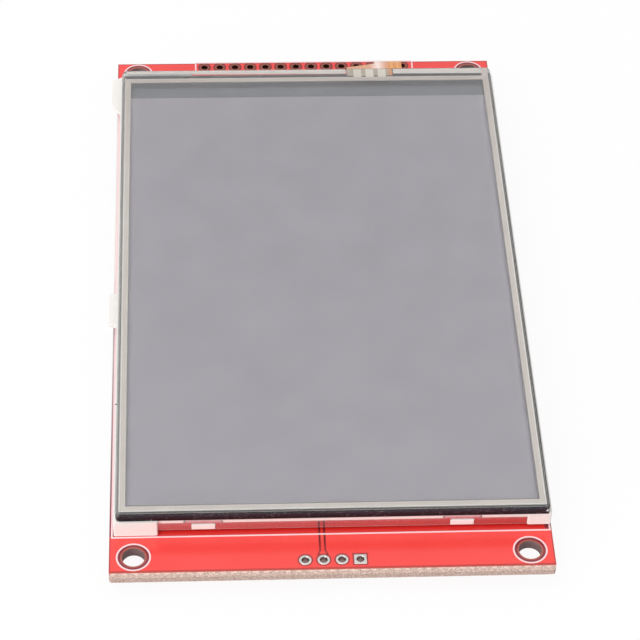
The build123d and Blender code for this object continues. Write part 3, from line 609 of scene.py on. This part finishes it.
def piece(name, mesh, material):
    """Object from a bmesh in millimetres, riding on the one body."""
    bmesh.ops.recalc_face_normals(mesh, faces=mesh.faces)
    bmesh.ops.scale(mesh, vec=(MM, MM, MM), verts=mesh.verts)
    data = bpy.data.meshes.new(name)
    mesh.to_mesh(data)
    mesh.free()
    data.materials.append(material)
    made = bpy.data.objects.new(name, data)
    bpy.context.scene.collection.objects.link(made)
    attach(made, "root")
    return made


def skin(mesh, loops):
    """Walls from each loop of vertices to the next, and a face over each end."""
    count = len(loops[0])
    for here, there in zip(loops, loops[1:]):
        for i in range(count):
            j = (i + 1) % count
            mesh.faces.new((here[i], here[j], there[j], there[i]))
    mesh.faces.new(loops[0][::-1])
    mesh.faces.new(loops[-1])


def lathe(mesh, x, y, profile, square_from=None, steps=48):
    """Closed profile of (radius, z) turned about a vertical line.

    Points at or beyond the radius square_from follow a square instead of a circle.
    """
    loops = []
    for i in range(steps):
        angle = 2 * math.pi * (i + 0.5) / steps
        cosine, sine = math.cos(angle), math.sin(angle)
        corner = 1 / max(abs(cosine), abs(sine))
        loop = []
        for radius, z in profile:
            reach = radius * corner if square_from and radius >= square_from else radius
            loop.append(mesh.verts.new((x + reach * cosine, y + reach * sine, z)))
        loops.append(loop)
    count = len(profile)
    for i in range(steps):
        here, there = loops[i], loops[(i + 1) % steps]
        for j in range(count):
            k = (j + 1) % count
            mesh.faces.new((here[j], there[j], there[k], here[k]))


def ribbon(mesh, points, width, z0, z1, closed=False):
    """Flat strip of one width along a line of (x, y) points, with mitred corners."""
    count = len(points)
    sides = []
    for i, point in enumerate(points):
        here = Vector(point)
        before = Vector(points[i - 1]) if closed or i > 0 else None
        after = Vector(points[(i + 1) % count]) if closed or i < count - 1 else None
        into = (here - before).normalized() if before else (after - here).normalized()
        out = (after - here).normalized() if after else into
        tangent = (into + out).normalized()
        across = Vector((-tangent.y, tangent.x))
        reach = width / 2 / max(0.3, tangent.dot(out))
        sides.append([here + across * reach, here - across * reach])
    loops = [[mesh.verts.new((p.x, p.y, z)) for p, z in
              ((left, z0), (left, z1), (right, z1), (right, z0))] for left, right in sides]
    for i in range(count if closed else count - 1):
        here, there = loops[i], loops[(i + 1) % count]
        for j in range(4):
            k = (j + 1) % 4
            mesh.faces.new((here[j], there[j], there[k], here[k]))
    if not closed:
        mesh.faces.new(loops[0])
        mesh.faces.new(loops[-1][::-1])


def rounded_sheet(mesh, low, high, radius, arris, steps=8):
    """Flat sheet with rounded corners and a small chamfer round each face."""
    corners = [(high.x - radius, high.y - radius), (low.x + radius, high.y - radius),
               (low.x + radius, low.y + radius), (high.x - radius, low.y + radius)]
    loops = []
    for inset, z in ((arris, low.z), (0, low.z + arris), (0, high.z - arris), (arris, high.z)):
        loop = []
        for quarter, (x, y) in enumerate(corners):
            for i in range(steps + 1):
                angle = math.pi / 2 * (quarter + i / steps)
                reach = radius - inset
                loop.append(mesh.verts.new((x + reach * math.cos(angle),
                                            y + reach * math.sin(angle), z)))
        loops.append(loop)
    skin(mesh, loops)


def circle(x, y, radius, steps=64):
    return [(x + radius * math.cos(2 * math.pi * i / steps),
             y + radius * math.sin(2 * math.pi * i / steps)) for i in range(steps)]


def rectangle(x0, x1, y0, y1):
    return [(x0, y0), (x1, y0), (x1, y1), (x0, y1)]


def row(count):
    return [(i - (count - 1) / 2) * PIN_PITCH for i in range(count)]


pin_places = [(x, HEADER_Y) for x in row(HEADER_COUNT)]
pin_places += [(x, CARD_HEADER_Y) for x in row(CARD_HEADER_COUNT)]
square_pin = pin_places[-1]
mount_places = [(x, y) for x in (-MOUNT_X, MOUNT_X) for y in (-MOUNT_Y, MOUNT_Y)]


# Hole plating: a barrel with a slightly domed ring on each face

PLATING = 0.012
RING_RISE = 0.035
ring_inner, ring_crown, ring_outer = PIN_RADIUS - PLATING, PAD_RADIUS - 0.12, PAD_RADIUS
ring_profile = [
    (PIN_RADIUS - 0.004, BOARD_BACK),
    (ring_outer, BOARD_BACK),
    (ring_outer - 0.02, BOARD_BACK - RING_RISE * 0.7),
    (ring_crown, BOARD_BACK - RING_RISE),
    (ring_inner + 0.05, BOARD_BACK - RING_RISE * 0.8),
    (ring_inner, BOARD_BACK + RING_RISE),
    (ring_inner, BOARD_TOP - RING_RISE),
    (ring_inner + 0.05, BOARD_TOP + RING_RISE * 0.8),
    (ring_crown, BOARD_TOP + RING_RISE),
    (ring_outer - 0.02, BOARD_TOP + RING_RISE * 0.7),
    (ring_outer, BOARD_TOP),
    (PIN_RADIUS - 0.004, BOARD_TOP),
]
for name, row_y, material in (("header_plating", HEADER_Y, plating_painted_brown),
                              ("card_header_plating", CARD_HEADER_Y, plating_tin)):
    plating = bmesh.new()
    for x, y in pin_places:
        if y == row_y:
            lathe(plating, x, y, ring_profile,
                  square_from=ring_crown if (x, y) == square_pin else None)
    piece(name, plating, material)

# White print on both faces

silk_top = BOARD_TOP, BOARD_TOP + SILK_RISE
silk_back = BOARD_BACK - SILK_RISE, BOARD_BACK
MOUNT_RING_RADIUS = 2.3

print_top = bmesh.new()
print_back = bmesh.new()
for x, y in mount_places:
    ribbon(print_top, circle(x, y, MOUNT_RING_RADIUS), SILK_LINE, *silk_top, closed=True)
    ribbon(print_back, circle(x, y, MOUNT_RING_RADIUS), SILK_LINE, *silk_back, closed=True)
ribbon(print_top, rectangle(*HEADER_BOX), SILK_LINE, *silk_top, closed=True)
ribbon(print_top, rectangle(*DISPLAY_BOX), SILK_LINE, *silk_top, closed=True)
ribbon(print_back, rectangle(*HEADER_BOX), SILK_LINE, *silk_back, closed=True)
piece("print_front", print_top, silk_material)
piece("print_back", print_back, silk_material)

# Clearances in the copper pour, seen as darker lines through the mask

clearances = bmesh.new()
for x, y in pin_places:
    radius = PAD_RADIUS + 0.1
    outline = rectangle(x - radius, x + radius, y - radius, y + radius) \
        if (x, y) == square_pin else circle(x, y, radius, 40)
    for z0, z1 in ((BOARD_TOP, BOARD_TOP + TRACK_RISE), (BOARD_BACK - TRACK_RISE, BOARD_BACK)):
        ribbon(clearances, outline, 0.2, z0, z1, closed=True)
track_x, track_gap, track_start = -PIN_PITCH / 2 - 0.06, 0.35, CARD_HEADER_Y + 1.7
for side in (-1, 1):
    line = [(track_x + side * 0.7, CARD_HEADER_Y + 0.8),
            (track_x + side * track_gap, track_start),
            (track_x + side * track_gap, frame_low.y + 4.0)]
    ribbon(clearances, line, 0.27, BOARD_TOP, BOARD_TOP + TRACK_RISE)
piece("pour_clearances", clearances, clearance())


# Clear sheets of the touch panel, a hair thinner than the solids, so that no two faces coincide

HAIR = 0.01
for name, radius, arris, material in (("touch_glass", 0.6, 0.08, touch_glass_clear),
                                      ("touch_film", 0.6, 0.03, touch_film_clear)):
    low, high = limits(name)
    low.z += HAIR
    high.z -= HAIR if name == "touch_glass" else 0.0
    mesh = bmesh.new()
    rounded_sheet(mesh, low, high, radius, arris)
    sheet = piece(name + "_sheet", mesh, material)
    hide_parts(name)
    if name == "touch_glass":
        for edge in (glass_edge(), ground_edge()):
            sheet.data.materials.append(edge)
        # The near face gets the painted dark edge, the far face the ground edge.
        for face in sheet.data.polygons:
            if abs(face.normal.y) > 0.7:
                face.material_index = 1 if face.normal.y < 0 else 2


# Pale far line of the printed border, on both sides of the tail and wider at the right

TAIL_LEFT, TAIL_BOND_RIGHT = 6.8, 14.2
FAR_LINE_EDGE, FAR_LINE_LEFT, FAR_LINE_RIGHT = 46.72, 46.0, 45.52
FAR_LINE_START, FAR_LINE_END = -29.3, 28.88
FAR_LINE_THICKNESS, FAR_LINE_GAP = 0.08, 0.2


def far_line_near(x):
    """Near edge of the line, which slants."""
    share = (x - FAR_LINE_START) / (FAR_LINE_END - FAR_LINE_START)
    return FAR_LINE_LEFT + share * (FAR_LINE_RIGHT - FAR_LINE_LEFT)


far_line = bmesh.new()
far_line_low = glass_high.z + HAIR
for x0, x1 in ((FAR_LINE_START, TAIL_LEFT - FAR_LINE_GAP),
               (TAIL_BOND_RIGHT + FAR_LINE_GAP, FAR_LINE_END)):
    corners = [(x0, far_line_near(x0)), (x1, far_line_near(x1)),
               (x1, FAR_LINE_EDGE), (x0, FAR_LINE_EDGE)]
    skin(far_line, [[far_line.verts.new((x, y, z)) for x, y in corners]
                    for z in (far_line_low, far_line_low + FAR_LINE_THICKNESS)])
piece("touch_far_line", far_line, far_print)


# Touch tail: one strip under the film, over the far edge and down to the board in two bends

TAIL_THICKNESS, TAIL_BOND, TAIL_FOLD = 0.07, 1.75, 50.1
TAIL_NECK_LEFT, TAIL_NECK_RIGHT = 11.4, 15.9
TAIL_SLANT_START, TAIL_SLANT_END = glass_high.y + 0.45, glass_high.y + 1.35
TAIL_TOP_RADIUS, TAIL_FOOT_RADIUS = 2.0, 0.5
joint_low, joint_high = limits("touch_flex_joints")


def tail_stations():
    """(y, z, slope, left, right) along the middle of the strip: slope is its normal's angle."""
    top = glass_high.z + TAIL_THICKNESS / 2
    foot = joint_high.z + TAIL_THICKNESS / 2
    bend = TAIL_FOLD - TAIL_TOP_RADIUS
    edge = glass_high.y
    stations = [(y, top, math.pi / 2) for y in (edge - TAIL_BOND, edge - 0.02, edge + 0.02,
                                                TAIL_SLANT_START)]
    stations += [(bend + TAIL_TOP_RADIUS * math.cos(a), top - TAIL_TOP_RADIUS
                  + TAIL_TOP_RADIUS * math.sin(a), a)
                 for a in (math.pi / 2 * (1 - i / 16) for i in range(17))]
    stations += [(TAIL_FOLD - TAIL_FOOT_RADIUS * (1 - math.cos(a)),
                  foot + TAIL_FOOT_RADIUS * (1 + math.sin(a)), a)
                 for a in (-math.pi / 2 * i / 8 for i in range(9))]
    stations.append((joint_low.y + 0.08, foot, -math.pi / 2))
    shaped = []
    for y, z, slope in stations:
        slant = (y - TAIL_SLANT_START) / (TAIL_SLANT_END - TAIL_SLANT_START)
        share = min(1.0, max(0.0, slant)) if slope > 0.1 else 1.0
        left = TAIL_LEFT + share * (TAIL_NECK_LEFT - TAIL_LEFT)
        right = TAIL_BOND_RIGHT if y < edge and slope > 0.1 else TAIL_NECK_RIGHT
        shaped.append((y, z, slope, left, right))
    return shaped


tail_mesh = bmesh.new()
loops = []
for y, z, slope, left, right in tail_stations():
    out_y, out_z = (TAIL_THICKNESS / 2 * v for v in (math.cos(slope), math.sin(slope)))
    loops.append([tail_mesh.verts.new(v) for v in (
        (left, y + out_y, z + out_z), (right, y + out_y, z + out_z),
        (right, y - out_y, z - out_z), (left, y - out_y, z - out_z))])
skin(tail_mesh, loops)
tail = piece("touch_tail", tail_mesh, flex_material)
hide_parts("touch_flex")


# Back of the board: solder, tracks, vias and white outlines


def middle(node):
    """Middle of a CAD node in plan."""
    low, high = limits(node)
    return (low.x + high.x) / 2, (low.y + high.y) / 2


controller_x, controller_y = middle("touch_controller_body")
regulator_x, regulator_y = middle("regulator_body")
transistor_x, transistor_y = middle("transistor_body")
socket_low, socket_high = limits("card_socket_shell")
socket_y = (socket_low.y + socket_high.y) / 2

# Pitches, and how far the pads of a part lie from its middle
PART_PITCH, PART_PAD_REACH = 2.8, 0.88
LEAD_PITCH, LEAD_PAD_REACH = 0.65, 3.15
REGULATOR_PITCH, REGULATOR_PAD_REACH = 1.5, 2.2
TRANSISTOR_PAD_X, TRANSISTOR_PAD_Y = 0.95, 1.2
CONTACT_PITCH, CONTACT_COUNT, CONTACT_X = 2.5, 9, 2.45
SOCKET_TAB_PLACES, SOCKET_TAB_REACH = (6.27, 26.77), 14.5
PIN_TRACK_START = 0.9

# Chip parts with their length along Y, and the one with its length along X
chip_row = [(-14.75 + PART_PITCH * i, 45.02) for i in range(6)]
upright_parts = chip_row + [
    (transistor_x - 3.75, transistor_y), (transistor_x - 3.75, transistor_y - PART_PITCH),
    (transistor_x + 3.75, transistor_y), (controller_x - 4.8, controller_y),
    (controller_x - 4.8 - PART_PITCH, controller_y), (controller_x + 4.8, controller_y),
    (regulator_x - 4.55, regulator_y), (regulator_x - 1.4, regulator_y - 4.5),
    (regulator_x + 1.4, regulator_y - 4.5),
]
level_part = (transistor_x, transistor_y - 3.5)


def mound(mesh, x, y, width, length, height, slope):
    """Low mound of solder on the back face, with sloping sides."""
    loops = []
    for inset, z in ((0.0, BOARD_BACK), (slope, BOARD_BACK - height)):
        half_x, half_y = width / 2 - inset, length / 2 - inset
        loops.append([mesh.verts.new((x + a * half_x, y + b * half_y, z))
                      for a, b in ((-1, -1), (1, -1), (1, 1), (-1, 1))])
    skin(mesh, loops)


solder_mesh = bmesh.new()
for x, y in upright_parts:
    for side in (-1, 1):
        mound(solder_mesh, x, y + side * PART_PAD_REACH, 1.0, 0.76, 0.14, 0.12)
for side in (-1, 1):
    mound(solder_mesh, level_part[0] + side * PART_PAD_REACH, level_part[1],
          0.76, 1.0, 0.14, 0.12)
    for i in range(8):
        mound(solder_mesh, controller_x + (i - 3.5) * LEAD_PITCH,
              controller_y + side * LEAD_PAD_REACH, 0.38, 1.1, 0.05, 0.04)
    for x in SOCKET_TAB_PLACES:
        mound(solder_mesh, x, socket_y + side * SOCKET_TAB_REACH, 2.8, 1.7, 0.1, 0.15)
for i in (-1, 0, 1):
    mound(solder_mesh, regulator_x + REGULATOR_PITCH * i, regulator_y - REGULATOR_PAD_REACH,
          0.8, 1.2, 0.06, 0.06)
mound(solder_mesh, regulator_x, regulator_y + REGULATOR_PAD_REACH, 2.5, 1.4, 0.06, 0.06)
for i in (-1, 1):
    mound(solder_mesh, transistor_x + TRANSISTOR_PAD_X * i, transistor_y - TRANSISTOR_PAD_Y,
          0.7, 0.95, 0.06, 0.06)
mound(solder_mesh, transistor_x, transistor_y + TRANSISTOR_PAD_Y, 0.7, 0.95, 0.06, 0.06)
contact_places = [socket_y + (i - (CONTACT_COUNT - 1) / 2) * CONTACT_PITCH
                  for i in range(CONTACT_COUNT)]
for y in contact_places:
    mound(solder_mesh, CONTACT_X, y, 1.9, 1.25, 0.06, 0.06)
piece("back_solder", solder_mesh, solder)

# Tracks as (x, y) points with their width: rows of holes to the parts that they serve
tracks = []
for i, (part_x, _) in enumerate(chip_row):
    pin_x = (i - 5.5) * PIN_PITCH
    turn = abs(part_x - pin_x)
    bend = [(pin_x, 49.0), (part_x, 49.0 - turn)] if turn > 0.01 else []
    tracks.append(([(pin_x, HEADER_Y - PIN_TRACK_START), *bend, (part_x, 46.2)], 0.26))
    tracks.append(([(part_x, 43.9), (part_x, 43.72)], 0.26))
for i in range(4):
    pin_x, bus_y = (i + 3.5) * PIN_PITCH, 43.0 - 0.45 * i
    lead_x = controller_x + (i + 0.5) * LEAD_PITCH
    tracks.append(([(pin_x, HEADER_Y - PIN_TRACK_START), (pin_x, bus_y + 1.0),
                    (pin_x - 1.0, bus_y), (lead_x + 0.6, bus_y), (lead_x, bus_y - 0.6),
                    (lead_x, controller_y + 3.6)], 0.22))
    lead_x = controller_x + (i - 3.5) * LEAD_PITCH
    via_x = controller_x - 4.2 + 1.1 * i
    tracks.append(([(lead_x, controller_y - 3.6), (lead_x, controller_y - 4.1),
                    (via_x, controller_y - 4.1 - abs(via_x - lead_x)),
                    (via_x, controller_y - 6.4)], 0.22))
for pin_x, up_x, y, contact in ((3.81, 0.95, -45.4, 1), (1.27, 0.4, -46.2, 3),
                                (-1.27, -0.15, -46.9, 4), (-3.81, -0.7, -47.6, 7)):
    contact_y = contact_places[contact]
    tracks.append(([(pin_x, CARD_HEADER_Y + PIN_TRACK_START), (pin_x, y),
                    (up_x, y + abs(pin_x - up_x)), (up_x, contact_y - 0.5),
                    (up_x + 0.5, contact_y), (1.55, contact_y)], 0.24))
tracks += [
    ([(-6.5 * PIN_PITCH, HEADER_Y - PIN_TRACK_START), (-6.5 * PIN_PITCH, 47.0),
      (regulator_x, 47.0 + 6.5 * PIN_PITCH + regulator_x),
      (regulator_x, regulator_y + 2.9)], 0.8),
    ([(regulator_x - 1.5, regulator_y - 2.8), (regulator_x - 1.4, regulator_y - 3.3)], 0.5),
    ([(regulator_x + 1.5, regulator_y - 2.8), (regulator_x + 1.4, regulator_y - 3.3)], 0.5),
    ([(transistor_x - 1.35, transistor_y - 1.2), (transistor_x - 3.2, transistor_y - 1.2)], 0.3),
]
via_places = [(x, 43.45) for x, _ in chip_row]
via_places += [(controller_x - 4.2 + 1.1 * i, controller_y - 6.7) for i in range(4)]
stitch_places = [(side * 29.0, y) for side in (-1, 1) for y in (48.2, 30.0, 12.0, -4.0)]
stitch_places += [(-29.0, -20.0), (-29.0, -36.0), (-22.0, 24.0), (-7.0, 22.0), (9.0, 25.0),
                  (22.0, 22.0), (-15.0, 5.0), (3.0, 4.0), (18.0, 6.0), (-20.0, -14.0),
                  (-8.0, -22.0), (-18.0, -34.0), (-8.0, -42.0), (-20.0, -48.5), (12.0, -48.5)]

track_mesh, gap_mesh = bmesh.new(), bmesh.new()
for points, width in tracks:
    ribbon(gap_mesh, points, width + 0.4, BOARD_BACK - TRACK_RISE / 2, BOARD_BACK)
    ribbon(track_mesh, points, width, BOARD_BACK - TRACK_RISE * 1.5, BOARD_BACK)
VIA_RADIUS, VIA_HOLE = 0.32, 0.13
via_profile = [(VIA_HOLE, BOARD_BACK), (VIA_RADIUS, BOARD_BACK),
               (VIA_RADIUS - 0.05, BOARD_BACK - 0.025), (VIA_HOLE + 0.04, BOARD_BACK - 0.025),
               (VIA_HOLE, BOARD_BACK - 0.01)]
for x, y in via_places + stitch_places:
    lathe(track_mesh, x, y, via_profile, steps=20)
    if (x, y) in via_places:
        ribbon(gap_mesh, circle(x, y, VIA_RADIUS + 0.1, 24), 0.2, BOARD_BACK - TRACK_RISE / 2,
               BOARD_BACK, closed=True)
    dimple = Matrix.Translation((x, y, BOARD_BACK - 0.004))
    bmesh.ops.create_cone(gap_mesh, cap_ends=True, segments=16, radius1=VIA_HOLE,
                          radius2=VIA_HOLE, depth=0.008, matrix=dimple)
piece("back_tracks", track_mesh, mask_light)
piece("back_clearances", gap_mesh, mask_dark)

FINE_LINE = 0.15
outline_mesh = bmesh.new()
for x, y in upright_parts:
    ribbon(outline_mesh, rectangle(x - 0.78, x + 0.78, y - 1.55, y + 1.55), FINE_LINE, *silk_back,
           closed=True)
x, y = level_part
ribbon(outline_mesh, rectangle(x - 1.55, x + 1.55, y - 0.78, y + 0.78), FINE_LINE, *silk_back,
       closed=True)
for x, y, half_x, half_y in ((controller_x, controller_y, 2.85, 2.3),
                             (regulator_x, regulator_y, 2.65, 1.4),
                             (transistor_x, transistor_y, 1.8, 0.75)):
    for side in (-1, 1):
        line = [(x + side * (half_x - 0.25), y - half_y), (x + side * half_x, y - half_y),
                (x + side * half_x, y + half_y), (x + side * (half_x - 0.25), y + half_y)]
        ribbon(outline_mesh, line, FINE_LINE, *silk_back)
ribbon(outline_mesh, circle(controller_x - 3.3, controller_y + 2.9, 0.14, 20), 0.24, *silk_back,
       closed=True)
for side in (-1, 1):
    line_y = socket_y + side * 14.25
    ribbon(outline_mesh, [(8.2, line_y), (24.9, line_y)], FINE_LINE, *silk_back)
ribbon(outline_mesh, rectangle(-5.15, 5.15, CARD_HEADER_Y - 1.3, CARD_HEADER_Y + 1.3), FINE_LINE,
       *silk_back, closed=True)
piece("back_outlines", outline_mesh, silk_material)


# Studio: pale floor, white surroundings, two large soft lamps and the camera


def seen_white(tree):
    """1 for rays that show the surroundings: to the camera, in gloss and through glass."""
    path = tree.nodes.new("ShaderNodeLightPath")
    total = path.outputs["Is Camera Ray"]
    for output in ("Is Glossy Ray", "Is Transmission Ray"):
        add = tree.nodes.new("ShaderNodeMath")
        add.operation = "MAXIMUM"
        tree.links.new(total, add.inputs[0])
        tree.links.new(path.outputs[output], add.inputs[1])
        total = add.outputs[0]
    return total


WORLD_LIGHT = 0.62
FLOOR_LIGHT = 0.5
FLOOR_SHARE = 0.93
FLOOR_GAP = 0.02
FLOOR_SIZE = 6.0


def make_world():
    world = bpy.data.worlds.new("studio")
    world.use_nodes = True
    tree = world.node_tree
    background = tree.nodes["Background"]
    background.inputs["Color"].default_value = (1.0, 1.0, 1.0, 1.0)
    level = tree.nodes.new("ShaderNodeMapRange")
    tree.links.new(seen_white(tree), level.inputs["Value"])
    level.inputs["To Min"].default_value = WORLD_LIGHT
    level.inputs["To Max"].default_value = 1.0
    tree.links.new(level.outputs["Result"], background.inputs["Strength"])
    bpy.context.scene.world = world


def floor_material():
    """Pale floor: nearly white where it is seen, with the object's shadow left on it."""
    material = bpy.data.materials.new("floor")
    material.use_nodes = True
    tree = material.node_tree
    tree.nodes.clear()
    diffuse = tree.nodes.new("ShaderNodeBsdfDiffuse")
    diffuse.inputs["Color"].default_value = (0.9, 0.9, 0.9, 1.0)
    glow = tree.nodes.new("ShaderNodeEmission")
    bounce = tree.nodes.new("ShaderNodeEmission")
    bounce.inputs["Strength"].default_value = FLOOR_LIGHT
    shown = tree.nodes.new("ShaderNodeMixShader")
    shown.inputs["Fac"].default_value = FLOOR_SHARE
    tree.links.new(diffuse.outputs[0], shown.inputs[1])
    tree.links.new(glow.outputs[0], shown.inputs[2])
    chosen = tree.nodes.new("ShaderNodeMixShader")
    tree.links.new(seen_white(tree), chosen.inputs["Fac"])
    tree.links.new(bounce.outputs[0], chosen.inputs[1])
    tree.links.new(shown.outputs[0], chosen.inputs[2])
    one_sided = tree.nodes.new("ShaderNodeMixShader")
    geometry = tree.nodes.new("ShaderNodeNewGeometry")
    through = tree.nodes.new("ShaderNodeBsdfTransparent")
    tree.links.new(geometry.outputs["Backfacing"], one_sided.inputs["Fac"])
    tree.links.new(chosen.outputs[0], one_sided.inputs[1])
    tree.links.new(through.outputs[0], one_sided.inputs[2])
    output = tree.nodes.new("ShaderNodeOutputMaterial")
    tree.links.new(one_sided.outputs[0], output.inputs["Surface"])
    return material


def make_floor():
    place = (0, 0, cad_low.z - FLOOR_GAP * MM)
    bpy.ops.mesh.primitive_plane_add(size=FLOOR_SIZE, location=place)
    floor = bpy.context.object
    floor.name = "floor"
    floor.data.materials.append(floor_material())


def make_lamp(name, place, size, watts):
    data = bpy.data.lights.new(name, "AREA")
    data.shape = "SQUARE"
    data.size = size
    data.energy = watts
    lamp = bpy.data.objects.new(name, data)
    lamp.location = place
    lamp.rotation_mode = "QUATERNION"
    lamp.rotation_quaternion = Vector(place).to_track_quat("Z", "Y")
    bpy.context.scene.collection.objects.link(lamp)


CAMERA_ELEVATION, CAMERA_YAW, CAMERA_ROLL = 45.909, -3.8844, 1.9402
CAMERA_ACROSS, CAMERA_UP, CAMERA_AWAY = 0.4858, -4.4673, 382.697
CAMERA_LENS, CAMERA_SENSOR = 141.114, 36.0


def make_camera():
    elevation, yaw, roll = (math.radians(v) for v in (CAMERA_ELEVATION, CAMERA_YAW, CAMERA_ROLL))
    back = Vector((math.sin(yaw) * math.cos(elevation), -math.cos(yaw) * math.cos(elevation),
                   math.sin(elevation)))
    level = Vector((math.cos(yaw), math.sin(yaw), 0))
    rise = back.cross(level)
    right = math.cos(roll) * level + math.sin(roll) * rise
    up = back.cross(right)
    place = Vector((0, 0, BOARD_TOP)) + CAMERA_ACROSS * right + CAMERA_UP * up + CAMERA_AWAY * back
    data = bpy.data.cameras.new("camera")
    data.lens = CAMERA_LENS
    data.sensor_width = CAMERA_SENSOR
    data.clip_start = 0.01
    camera = bpy.data.objects.new("camera", data)
    turn = Matrix((right, up, back)).transposed().to_4x4()
    camera.matrix_world = Matrix.Translation(place * MM) @ turn
    bpy.context.scene.collection.objects.link(camera)
    bpy.context.scene.camera = camera


make_world()
make_floor()
make_lamp("key", (-0.4, -0.3, 1.1), 0.9, 6.4)
make_lamp("front", (-0.75, -0.85, 0.35), 0.7, 6.2)
make_camera()
bpy.context.scene.view_settings.view_transform = "Standard"
